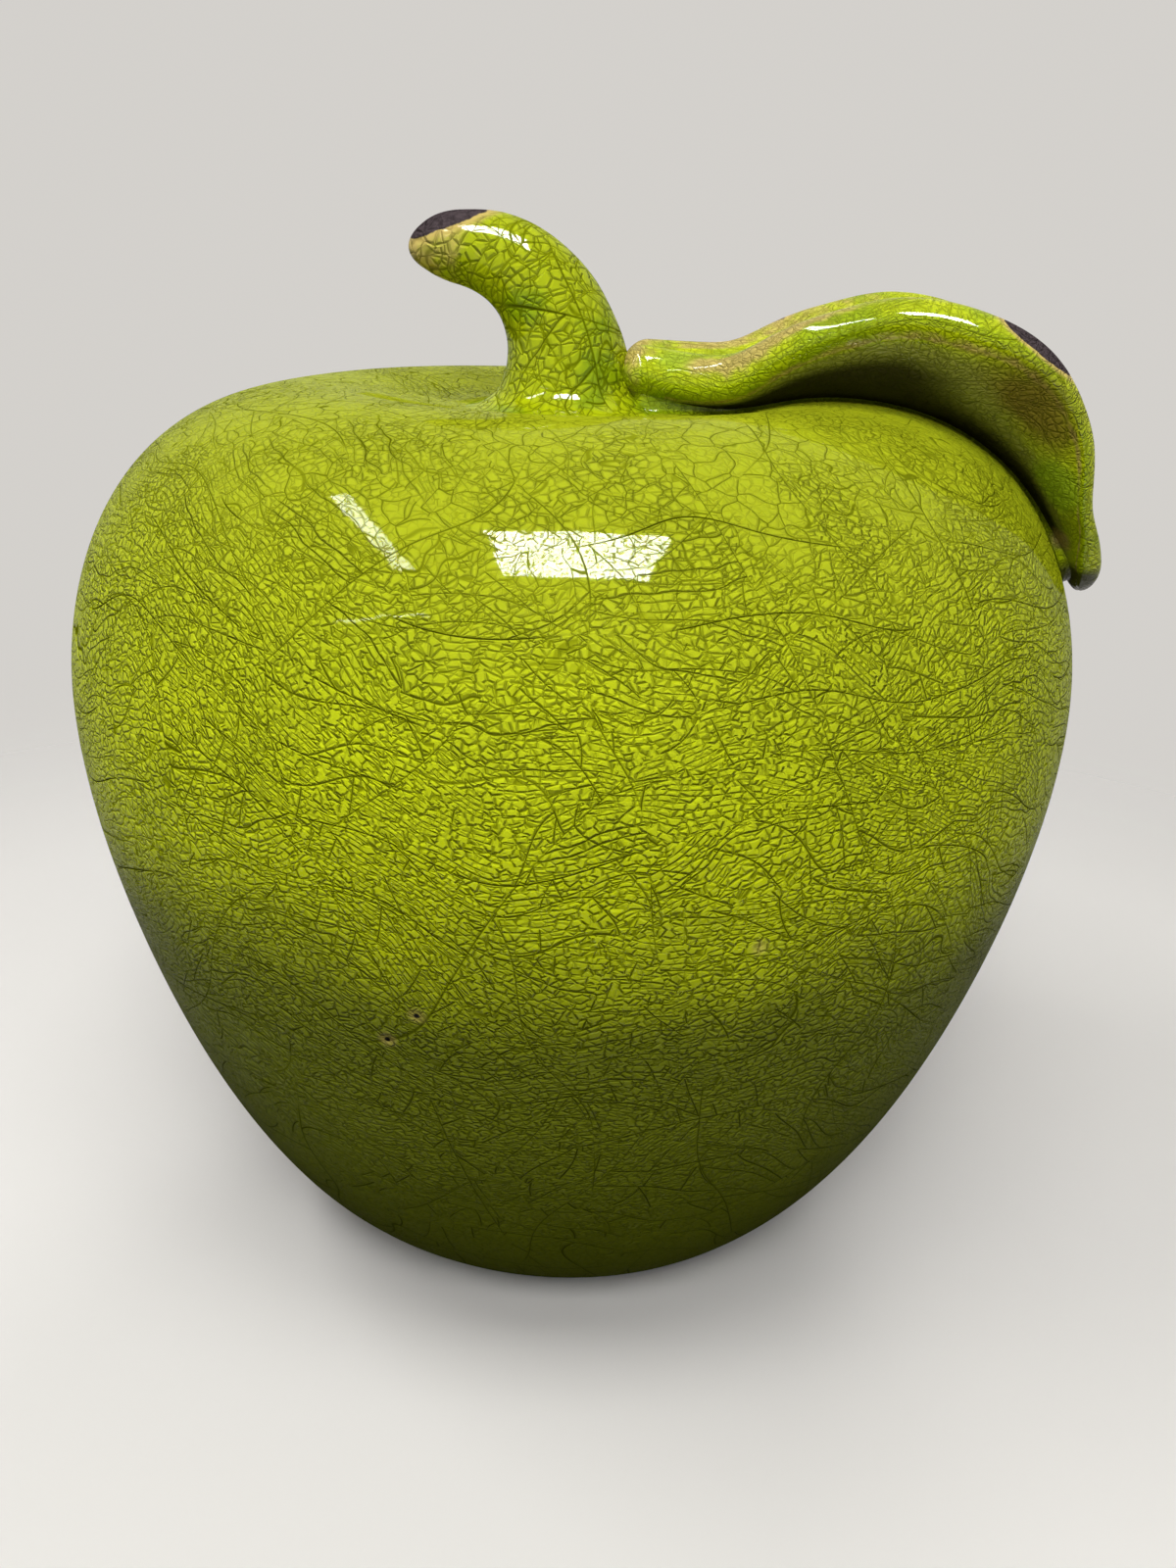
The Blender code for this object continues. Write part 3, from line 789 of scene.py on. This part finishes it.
def pitted(n, place_m, pinholes, colour, raised):
    """Tiny dark pits, each in a dent with a paler rim."""
    hole = near_spots(n, place_m, pinholes, 0.0)
    colour = n.blend(n.ramp(hole, 1.0, 3.6, 0.45, 0.0), colour, THIN)
    colour = n.blend(n.ramp(hole, 0.8, 1.2, 1.0, 0.0), colour, PINHOLE)
    return colour, n.math("ADD", raised, n.ramp(hole, 0.5, 2.6, -0.5, 0.0))


def bared(n, place, place_m, patches, colour):
    """Patches where the glaze ran off the clay, with tan edges. Also says how bare each place is."""
    bare = near_spots(n, place_m, patches, n.swing(n.noise(place, 3.0, 3.0), 0.30))
    colour = n.blend(n.ramp(bare, 1.0, 1.45, 1.0, 0.0), colour, THIN)
    clay = n.ramp(bare, 0.98, 1.03, 1.0, 0.0)
    grit = n.ramp(n.noise(place, 0.8, 3.0), 0.35, 0.7)
    return n.blend(clay, colour, n.blend(grit, CLAY, CLAY_GRIT)), clay


def glaze_material(
    name, glaze, shine, bold=1.0, size=1.0, masks=False, patches=(), stains=(), pinholes=()
):
    """Thick clear crackle glaze. Patches are bare clay, stains are places of another colour."""
    n = MaterialNodes(name)
    place_m, place = n.place()
    height = n.split(place)[2]
    cloud = n.noise(place, 22.0, 1.0, shift=7.0)
    fine = bold
    if not masks:
        fine = n.ramp(n.math("ADD", height, n.swing(cloud, TOP_WANDER)), *TOP_FAINT, 1.0)
        fine = n.math("MULTIPLY", fine, n.ramp(height, *FOOT_FAINT, 1.0))
    looks = [(LONG_LOOK, share * bold) for share in LONG_SHARES]
    looks += [(ARC_LOOK, bold)] * len(ARCS)
    looks += [(NET_LOOK, bold), (ROW_LOOK, fine), (CROSSING_LOOK, fine)]
    sized = n.vector("SCALE", place, scale=1.0 / size) if size != 1.0 else place
    dark, raised = crack_marks(n, crackle(n, sized, height), looks)

    mottle = n.ramp(n.noise(place, 30.0, 3.0, 0.6, shift=61.0), 0.40, 0.72, 0.0, 0.40)
    colour = n.blend(mottle, glaze, DEEP)
    coat = n.ramp(height, *SHINE_RISE, FOOT_SHINE * shine, shine)
    coat = n.math("MULTIPLY", coat, n.ramp(dark, 0.05, 0.55, 1.0, 0.0))
    if masks:
        # Pooled and thin glaze, and painted shade under the leaf's lip, where the coat is dimmed too
        colour = hand_made_colour_and_shade(n, place, colour)
        coat = n.math("MULTIPLY", coat, n.ramp(n.mask("shade"), 0.0, 0.8, 1.0, 0.3))
    else:
        # Painted shade on the body: a darker top, and darker below the belly
        colour = body_colour_and_shade(n, height, cloud, colour)
        specks = n.ramp(n.noise(place, 0.55, 1.0, shift=19.0), 0.38, 0.47, 0.12, 1.0)
        coat = n.math("MULTIPLY", coat, specks)
    if stains:
        colour = stained(n, place, place_m, stains, colour)
    colour = n.blend(dark, colour, CRACK)
    rough = GLAZE_ROUGHNESS
    if pinholes:
        colour, raised = pitted(n, place_m, pinholes, colour, raised)
    if patches:
        colour, clay = bared(n, place, place_m, patches, colour)
        rough = n.math("ADD", rough, n.math("MULTIPLY", clay, CLAY_ROUGHER))
        coat = n.math("MULTIPLY", n.math("SUBTRACT", 1.0, clay), coat)

    n.feed(n.shader.inputs["Base Color"], colour)
    n.feed(n.shader.inputs["Roughness"], rough)
    n.feed(n.shader.inputs["Coat Weight"], coat)
    n.shader.inputs["Specular IOR Level"].default_value = 0.0
    n.shader.inputs["Coat Roughness"].default_value = COAT_ROUGHNESS
    n.shader.inputs["Coat IOR"].default_value = COAT_IOR
    n.bump("Normal", raised, 1.0, MILLIMETRE)
    waves = n.math("MULTIPLY", n.noise(place, 8.0, 1.0, shift=11.0), 0.07)
    n.bump("Coat Normal", waves, 1.0, MILLIMETRE)
    return n.material


def clay_material():
    """Unglazed fired clay, gritty and a little patchy."""
    n = MaterialNodes("bare_clay")
    _, place = n.place()
    grain = n.noise(place, 0.9, 4.0, 0.65)
    cloud = n.noise(place, 14.0, 3.0, shift=9.0)
    colour = n.blend(n.ramp(grain, 0.3, 0.7), CLAY, PALE_CLAY)
    colour = n.blend(n.ramp(cloud, 0.4, 0.7, 0.0, 0.5), colour, WARM_CLAY)
    n.feed(n.shader.inputs["Base Color"], colour)
    n.shader.inputs["Roughness"].default_value = 0.82
    n.bump("Normal", grain, 0.5, 0.4 * MILLIMETRE)
    return n.material


def felt_material():
    """Dark grey felt with short tangled fibres."""
    n = MaterialNodes("grey_felt")
    _, place = n.place()
    fibre = n.noise(n.warped(place, 0.7, 1.4), 0.22, 5.0, 0.7)
    n.feed(n.shader.inputs["Base Color"], n.blend(n.ramp(fibre, 0.3, 0.7), FELT, PALE_FELT))
    n.shader.inputs["Roughness"].default_value = 0.95
    n.shader.inputs["Sheen Weight"].default_value = 0.4
    n.bump("Normal", fibre, 0.8, 0.4 * MILLIMETRE)
    return n.material


# Pieces

# The shell's corners under the foot and at the vent are broken by this much
FOOT_EDGE = 0.0006
SHARP_ANGLE = math.radians(50)

# Steps along the outline: the dimple's floor, its side, the shoulder and the lower side
OUTSIDE_STEPS = (12, 40, 110, 130)
INSIDE_STEPS = (4, 8, 24, 30)

# Over this many rings from the middle of the dimple, and from the foot, the ripples come in
CALM_TOP = 40
CALM_FOOT = 30

# Rings along the flare, the stem and its round tip, and steps along the line that the stem bends on
FLARE_STEPS = 36
STEM_STEPS = 90
STEM_TIP_STEPS = 26
BEND_STEPS = 400

# The stem's ripples begin after this ring, take this many to come in, and this many to end by the tip
STEM_CALM_UNTIL = 30
STEM_CALM_OVER = 30
STEM_TIP_CALM = 12

# Ripples that hand work leaves: their size, depth and seed
BODY_RIPPLE = (0.055, 0.0011, 3.1)
STEM_RIPPLE = (0.014, 0.0010, 8.3)

# The rings of the stem lie level until it leans by more than this or is thinner than this share
STEM_LEAN = 0.02
STEM_THINNED = 0.9

# From this share of the stem on the glaze gets thin
STEM_THIN_FROM = 0.55

# Ends of the slip under the leaf: its round noses, its least half width and how it slopes down
SEAT_NOSE = 0.004
SEAT_LEAST = 0.0003
SEAT_SLOPE = 0.8
SEAT_SLOPE_STEPS = 10


def body_profile():
    """The shell's outline from the dimple, under the foot and up inside, and how many points are glazed."""
    outside = body_outline(OUTSIDE_STEPS)
    ring = FOOT_RADIUS - FOOT_WIDTH
    floor = FOOT_RECESS + WALL
    foot = [
        (FOOT_RADIUS - FOOT_EDGE, 0.0),
        (ring + FOOT_EDGE, 0.0),
        (ring, 0.0),
        (ring - FOOT_BEVEL, FOOT_RECESS),
        (VENT_RADIUS + FOOT_EDGE, FOOT_RECESS),
        (VENT_RADIUS, FOOT_RECESS + FOOT_EDGE),
        (VENT_RADIUS, floor),
    ]
    coarse = body_outline(INSIDE_STEPS)
    inside = (coarse - WALL * left_normals(coarse))[1:]
    wall = inside[inside[:, 1] > floor]
    corner = [(wall[-1][0], floor)]
    return np.vstack([outside[1:], foot, corner, wall[::-1]]), len(outside) - 2


def round_axis(radius, height, c, s):
    return np.stack([radius * c, radius * s, np.full_like(c, height)], axis=1)


def build_body(glaze, clay):
    """The hollow cast shell: glazed outside down to the foot, bare on the foot ring and inside."""
    profile, glazed = body_profile()
    normals = left_normals(profile)
    turns = np.linspace(0.0, 2 * math.pi, BODY_SIDES, endpoint=False)
    c, s = np.cos(turns), np.sin(turns)
    rings = [round_axis(radius, z + SEAT, c, s) for radius, z in profile]
    for i in range(glazed - 1):
        calm = min(1.0, i / CALM_TOP) * min(1.0, (glazed - i) / CALM_FOOT)
        pull = calm * ripple(rings[i], *BODY_RIPPLE)
        rings[i] += pull[:, None] * round_axis(*normals[i], c, s)
    poles = ((0.0, 0.0, DIMPLE_FLOOR + SEAT), (0.0, 0.0, DIMPLE_FLOOR - WALL + SEAT))
    points, faces = skinned([ring[::-1] for ring in rings], poles)
    body = new_piece("body_shell", points, faces, glaze)
    body.data.materials.append(clay)
    for i, polygon in enumerate(body.data.polygons):
        ring_number = i // BODY_SIDES
        bare = glazed <= ring_number < len(profile) - 1 or i >= len(faces) - BODY_SIDES
        polygon.material_index = 1 if bare else 0
    body.data.set_sharp_from_angle(angle=SHARP_ANGLE)
    return body


def stem_line():
    """Middles and radii of the stem's rings, in heights above the dimple's floor, and its very tip."""
    tip = np.array([-STEM_REACH, STEM_RISE])
    pull = STEM_REACH_PULL * STEM_REACH
    bend = bezier(
        (0.0, FLARE_HEIGHT),
        (0.0, FLARE_HEIGHT + STEM_LIFT_PULL * (STEM_RISE - FLARE_HEIGHT)),
        tip + pull * np.array([math.cos(STEM_TIP_DROOP), math.sin(STEM_TIP_DROOP)]),
        tip,
        BEND_STEPS,
    )
    run = distances_along(bend)
    length = run[-1]
    turns = np.linspace(0.0, math.pi / 2, STEM_TIP_STEPS)[1:-1]
    straight = np.linspace(0.0, length - STEM_TIP_ROUND, STEM_STEPS)
    at = np.concatenate([straight, length - STEM_TIP_ROUND * (1 - np.sin(turns))])
    line = np.stack([np.interp(at, run, bend[:, i]) for i in (0, 1)], axis=1)
    taper = STEM_RADIUS + (STEM_TIP_RADIUS - STEM_RADIUS) * at / length
    radii = [radius * rounded_end(length - d, STEM_TIP_ROUND) for radius, d in zip(taper, at)]
    flare = bezier(
        (FLARE_REACH, -FLARE_SINK),
        (FLARE_REACH - FLARE_PULL * (FLARE_REACH - STEM_RADIUS), 0.0),
        (STEM_RADIUS, FLARE_HEIGHT * (1 - FLARE_PULL)),
        (STEM_RADIUS, FLARE_HEIGHT),
        FLARE_STEPS,
    )[:-1]
    low = np.stack([np.zeros(FLARE_STEPS), flare[:, 1]], axis=1)
    return np.vstack([low, line]), np.concatenate([flare[:, 0], radii]), tip


def build_stem(glaze):
    """A bent, tapered roll of clay that flares out onto the dimple's floor."""
    line, radii, tip = stem_line()
    count = len(line)
    along = np.gradient(line, axis=0)
    along /= np.linalg.norm(along, axis=1)[:, None]
    turns = np.linspace(0.0, 2 * math.pi, STEM_SIDES, endpoint=False)
    c, s = np.cos(turns)[:, None], np.sin(turns)[:, None]
    origin = np.array([STEM_AXIS_X, 0.0, DIMPLE_FLOOR + SEAT])
    rings = []
    for i, ((x, z), (dx, dz), radius) in enumerate(zip(line, along, radii)):
        leans = radius < STEM_THINNED * STEM_RADIUS or abs(dx) > STEM_LEAN
        side = np.array([dz, 0.0, -dx]) if leans else np.array([1.0, 0.0, 0.0])
        out = c * side + s * np.array([0.0, 1.0, 0.0])
        ring = origin + np.array([x, 0.0, z]) + radius * out
        calm = min(1.0, max(0.0, (i - STEM_CALM_UNTIL) / STEM_CALM_OVER))
        calm *= min(1.0, (count - 1 - i) / STEM_TIP_CALM)
        rings.append(ring + calm * ripple(ring, *STEM_RIPPLE)[:, None] * out)
    low = origin + np.array([0.0, 0.0, -FLARE_SINK])
    high = origin + np.array([tip[0], 0.0, tip[1]])
    points, faces = skinned(rings, (low, high))
    stem = new_piece("stem_and_flare", points, faces, glaze)
    shares = (np.arange(count) - FLARE_STEPS) / (count - FLARE_STEPS)
    thin = np.maximum(0.0, shares - STEM_THIN_FROM) / (1.0 - STEM_THIN_FROM)
    none = np.zeros(len(points))
    set_masks(stem, none, np.append(np.repeat(thin, STEM_SIDES), [0.0, 0.8]), none)
    return stem


def set_masks(piece, *masks):
    """How far each point's glaze is pooled and thin, and how much painted shade it gets, from 0 to 1."""
    for name, values in zip(MASKS, masks):
        layer = piece.data.attributes.new(name, "FLOAT", "POINT")
        layer.data.foreach_set("value", values.astype(np.float32))


def hump(values, middle, width):
    """1 where a value is in the middle, and less the further it is away."""
    return np.exp(-(((values - middle) / width) ** 2))


def leaf_masks(share):
    """Pooled and thin glaze, and painted shade, round one section: its top, front edge, underside and back
    edge.
    """
    across = np.linspace(-1, 1, LEAF_ACROSS)
    edge = np.linspace(0, 1, EDGE_STEPS + 2)[1:-1]
    mid = np.concatenate([across, np.ones(EDGE_STEPS), across[::-1], -np.ones(EDGE_STEPS)])
    turn = np.concatenate([np.zeros(LEAF_ACROSS), edge, np.ones(LEAF_ACROSS), edge[::-1]])
    front = mid > 0
    top = turn == 0
    under = turn == 1

    # Thin on the ridge towards the stalk, along the lip under the rim, and at the stalk's nose
    ridge = front * ~under * hump(turn, 0.38, 0.15) * (fading(share - 0.22, 0.14) + 0.35)
    back_rim = (turn < 0.5) * np.clip((-mid - 0.72) / 0.2, 0, 1)
    back_rim = back_rim * (0.25 + 0.5 * fading(share - 0.2, 0.2))
    lip = np.where(under, hump(np.abs(mid), 1.0, 0.03), hump(turn, 1.0, 0.07)) * (share > 0.05)
    thin = np.clip(ridge + back_rim + 0.75 * lip + 0.45 * fading(share, 0.014), 0, 1)

    # Pooled in the middle of the top near the stalk, and below the ridge
    valley = top * np.clip(1 - np.abs(mid) / 0.7, 0, 1) * (0.3 + 0.6 * fading(share, 0.3))
    pool = np.clip(valley + 0.45 * front * hump(turn, 0.72, 0.16), 0, 0.9)

    # Painted shade under the lip, less towards the tip where it hangs in the light
    depth = np.clip((1 - np.abs(mid)) / 0.26, 0, 1) ** 0.6 * under
    lit = 0.8 * smooth_step(share, 0.44, 0.70) * np.clip((np.abs(mid) - 0.40) / 0.3, 0, 1)
    shade = depth * (1 - lit) * (1 - fading(share, 0.05))
    return pool, thin, shade


def build_leaf(glaze):
    """A thick cupped slab draped over the shoulder."""
    rings = []
    masks = []
    for d in leaf_stations():
        rings.append([leaf_point(d, *place) for place in leaf_section(d)])
        masks.append(leaf_masks(leaf_share(d)))
    ends = []
    for d in (LEAF_START - STALK_SINK, LEAF_END):
        _, thickness, _, lift, _ = leaf_sizes(d)
        ends.append(leaf_point(d, 0.0, lift + thickness / 2))
    points, faces = skinned(rings, ends)
    leaf = new_piece("leaf_blade", points, faces, glaze)
    pool, thin, shade = [np.concatenate(values) for values in zip(*masks)]
    set_masks(leaf, np.append(pool, [0, 0]), np.append(thin, [1, 0.8]), np.append(shade, [0, 0]))
    return leaf


def seat_section(d, closing):
    """The sides and heights of one closed section of slip: leaf above, body below, slopes between."""
    share = leaf_share(d)
    middle, skin = leaf_middle(d)
    reach = (middle - skin)[-1][0]
    stalk = SEAT_STALK * fading(share, SEAT_STALK_SHARE)
    tip = SEAT_TIP * fading(1.0 - share, SEAT_TIP_SHARE)
    half = closing * max(max(stalk, tip) * reach, SEAT_KEEL) + SEAT_LEAST
    side = np.linspace(-half, half, SEAT_ACROSS)
    top = np.stack([side, leaf_underside(d, side) + SEAT_OVERLAP], axis=1)
    gap = top[:, 1] - body_height(d, side)
    foot = half + closing * min(SEAT_SPREAD * gap[-1], SEAT_MOST)
    low = body_height(d, foot) - SEAT_OVERLAP
    slopes = []
    for edge, out in ((top[-1], foot), (top[0], -foot)):
        fall = SEAT_SLOPE * (edge[1] - low)
        run = SEAT_SLOPE * (out - edge[0])
        pulls = ((edge[0], edge[1] - fall), (out - run, low))
        slopes.append(bezier(edge, *pulls, (out, low), SEAT_SLOPE_STEPS))
    under = np.linspace(foot, -foot, SEAT_ACROSS)[1:-1]
    bottom = np.stack([under, body_height(d, under) - SEAT_OVERLAP], axis=1)
    return np.vstack([top[:-1], slopes[0], bottom, slopes[1][:0:-1]])


def build_seat(glaze):
    """Slip smoothed in under the leaf: wide at its stalk and tip, and narrow along its keel."""
    start = LEAF_START - 0.5 * STALK_SINK
    end = LEAF_END - 0.4 * TIP_NOSE
    rings = []
    for d in np.linspace(start, end, SEAT_STATIONS):
        closing = rounded_end(d - start, SEAT_NOSE) * rounded_end(end - d, SEAT_NOSE)
        rings.append(np.array([leaf_point(d, *place) for place in seat_section(d, closing)]))
    ends = [ring.mean(axis=0) for ring in (rings[0], rings[-1])]
    points, faces = skinned(rings, ends)
    seat = new_piece("leaf_seat", points, faces, glaze)
    none = np.zeros(len(points))
    set_masks(seat, none + 0.35, none, none)
    return seat


# Bare clay, stains and pits: places in metres, radii in metres, and a turn about the line of sight

STEM_PATCHES = (((-0.0315, 0.0, 0.2424), (0.0112, 0.0088, 0.0057), math.radians(16.4)),)
LEAF_PATCHES = (
    ((0.0902, -0.0362, 0.2217), (0.0110, 0.0048, 0.0022), math.radians(-38)),
    ((0.0430, 0.0076, 0.2222), (0.0062, 0.0028, 0.0010), math.radians(18)),
)
STALK_GREEN = ((0.0198, -0.0105, 0.2137), (0.0040, 0.0030, 0.0026), 0.0)
UNDER_BROWN = ((0.0925, -0.0345, 0.2080), (0.0115, 0.0048, 0.0085), math.radians(-50))
TIP_GREEN = ((0.1012, -0.0290, 0.1915), (0.0060, 0.0055, 0.0068), 0.0)
TIP_DARK = ((0.1105, -0.0200, 0.1690), (0.0060, 0.0090, 0.0042), 0.0)
TIP_TAN = ((0.1064, -0.0205, 0.1788), (0.0022, 0.0036, 0.0026), 0.0)

# Each stain's tint, place and softness
LEAF_STAINS = (
    (BRIGHT_GREEN, STALK_GREEN, 0.60),
    (BROWN, UNDER_BROWN, 0.60),
    (BRIGHT_GREEN, TIP_GREEN, 0.35),
    (DARK_SLIP_AND_SHADE, TIP_DARK, 0.30),
    (TAN, TIP_TAN, 0.40),
)
PINHOLES_AT = ((-0.0270, 0.1012), (-0.0329, 0.0942), (0.0347, 0.1173))
PINHOLE_RADIUS = 0.0007


def pinhole(x, z):
    """A tiny pit on the front of the body, at this place across and this height above its foot."""
    outline = lower_outline(200)[::-1]
    radius = np.interp(z, outline[:, 1], outline[:, 0])
    return ((x, -math.sqrt(radius**2 - x**2), z + SEAT), (PINHOLE_RADIUS,) * 3, 0.0)


pits = [pinhole(*place) for place in PINHOLES_AT]
body_glaze = glaze_material("crackle_glaze_body", GLAZE, BODY_SHINE, pinholes=pits)
stem_glaze = glaze_material(
    "crackle_glaze_stem", STEM_GLAZE, STEM_SHINE, bold=0.95, size=1.45, masks=True, patches=STEM_PATCHES
)
leaf_glaze = glaze_material(
    "crackle_glaze_leaf",
    GLAZE,
    LEAF_SHINE,
    bold=0.6,
    size=0.8,
    masks=True,
    patches=LEAF_PATCHES,
    stains=LEAF_STAINS,
)
bare_clay = clay_material()
felt = felt_material()

for piece, nodes, slot in (
    (build_body(body_glaze, bare_clay), ("apple_body",), "body_glaze"),
    (build_stem(stem_glaze), ("stem", "stem_luting_coil"), "stem_glaze"),
    (build_leaf(leaf_glaze), ("leaf",), "leaf_glaze"),
    (build_seat(leaf_glaze), ("leaf_stalk_luting", "leaf_tip_luting"), "slip_glaze"),
):
    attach(piece, "root")
    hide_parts(*nodes)
for name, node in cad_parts.items():
    if name.startswith("felt_pad"):
        node.data.materials.clear()
        node.data.materials.append(felt)


# Stage

FLOOR_COLOUR = (0.66, 0.645, 0.62, 1.0)
FLOOR_BOUNCE = (0.10, 0.10, 0.10, 1.0)
FLOOR_FADE = (0.26, 0.62)
FLOOR_HALF = 0.72
WALL_COLOUR = (0.655, 0.635, 0.605, 1.0)
WALL_GLOW = 0.32

# Lamps that face straight down: name, place, size, power, and power of what shows as its reflection
LAMPS = (
    ("ceiling_panel", (0.0, -0.48, 1.19), (0.55, 0.42), 5.6, 76.0),
    ("side_strip", (-0.655, -0.21, 1.19), (0.09, 0.80), 6.0, 11.0),
    ("front_strip", (-1.18, -1.13, 1.19), (0.83, 0.03), 0.3, 3.0),
)
GLEAM_DROP = 0.003

# Lamps that face the object and don't show in its glaze: name, place and power
SOFT_LAMPS = (
    ("front_key", (0.0, -1.455, 1.361), 25.0),
    ("back_fill", (0.5, 1.5, 1.2), 9.0),
)
SOFT_LAMP_AIM = (0.0, 0.0, 0.14)
SOFT_LAMP_SIZE = (0.8, 0.6)

# The camera that was fitted to the photograph; its place is above the foot
LENS = 33.75
SENSOR_WIDTH = 36.0
CAMERA_AT = (0.0, -0.3425, 0.2339)
CAMERA_PITCH = math.radians(20.11)
CAMERA_YAW = math.radians(0.71)
CAMERA_ROLL = math.radians(1.84)


def floor_material():
    """Plain pale grey that fades out into the backdrop away from the object, and clear from below.

    What the object sees of it in reflections is as pale as what the camera sees.
    """
    n = MaterialNodes("pale_floor")
    n.feed(n.shader.inputs["Base Color"], n.blend(n.seen(), FLOOR_BOUNCE, FLOOR_COLOUR))
    n.shader.inputs["Roughness"].default_value = 0.9
    n.shader.inputs["Specular IOR Level"].default_value = 0.1
    away = n.vector("LENGTH", n.add("ShaderNodeTexCoord").outputs["Object"])
    fade = n.math("SUBTRACT", 1.0, n.math("POWER", n.ramp(away, *FLOOR_FADE, 1.0, 0.0), 2.0))
    below = n.add("ShaderNodeNewGeometry").outputs["Backfacing"]
    clear = n.add("ShaderNodeBsdfTransparent").outputs[0]
    mixed = {0: n.math("MAXIMUM", fade, below), 1: n.shader.outputs[0], 2: clear}
    n.feed(n.output.inputs["Surface"], n.add("ShaderNodeMixShader", mixed).outputs[0])
    return n.material


def build_floor():
    corners = ((-1, -1), (1, -1), (1, 1), (-1, 1))
    points = [(FLOOR_HALF * x, FLOOR_HALF * y, 0.0) for x, y in corners]
    floor = new_piece("pale_floor", points, [(0, 1, 2, 3)], floor_material())


def build_world():
    """Pale walls all round, which give little light themselves."""
    world = bpy.data.worlds.new("studio")
    world.use_nodes = True
    bpy.context.scene.world = world
    n = Nodes(world.node_tree)
    background = n.tree.nodes["Background"]
    background.inputs["Color"].default_value = WALL_COLOUR
    n.feed(background.inputs["Strength"], n.ramp(n.seen(), 0.0, 1.0, WALL_GLOW, 1.0))


def add_lamp(name, place, size, power, aim=None):
    data = bpy.data.lights.new(name, "AREA")
    data.shape = "RECTANGLE"
    data.size, data.size_y = size
    data.energy = power
    lamp = bpy.data.objects.new(name, data)
    bpy.context.scene.collection.objects.link(lamp)
    lamp.location = place
    if aim is not None:
        lamp.rotation_euler = (Vector(aim) - Vector(place)).to_track_quat("-Z", "Y").to_euler()
    return lamp


def build_lamps():
    """Lamps above with gleams of their own, a large soft one in front and a dim one at the back."""
    for name, place, size, power, gleam in LAMPS:
        add_lamp(name, place, size, power).visible_glossy = False
        just_below = (place[0], place[1], place[2] - GLEAM_DROP)
        add_lamp(name + "_gleam", just_below, size, gleam).visible_diffuse = False
    for name, place, power in SOFT_LAMPS:
        add_lamp(name, place, SOFT_LAMP_SIZE, power, SOFT_LAMP_AIM).visible_glossy = False


def build_camera():
    """The photograph's viewpoint: fitted lens, height and tilt."""
    data = bpy.data.cameras.new("photo_view")
    data.lens = LENS
    data.sensor_width = SENSOR_WIDTH
    camera = bpy.data.objects.new("photo_view", data)
    bpy.context.scene.collection.objects.link(camera)
    level = math.cos(CAMERA_PITCH)
    ahead = Vector((level * math.sin(CAMERA_YAW), level * math.cos(CAMERA_YAW), -math.sin(CAMERA_PITCH)))
    turn = ahead.to_track_quat("-Z", "Y").to_matrix().to_4x4() @ Matrix.Rotation(CAMERA_ROLL, 4, "Z")
    camera.matrix_world = Matrix.Translation(Vector(CAMERA_AT) + Vector((0.0, 0.0, SEAT))) @ turn
    bpy.context.scene.camera = camera


build_floor()
build_world()
build_lamps()
build_camera()
bpy.context.scene.view_settings.view_transform = "Standard"
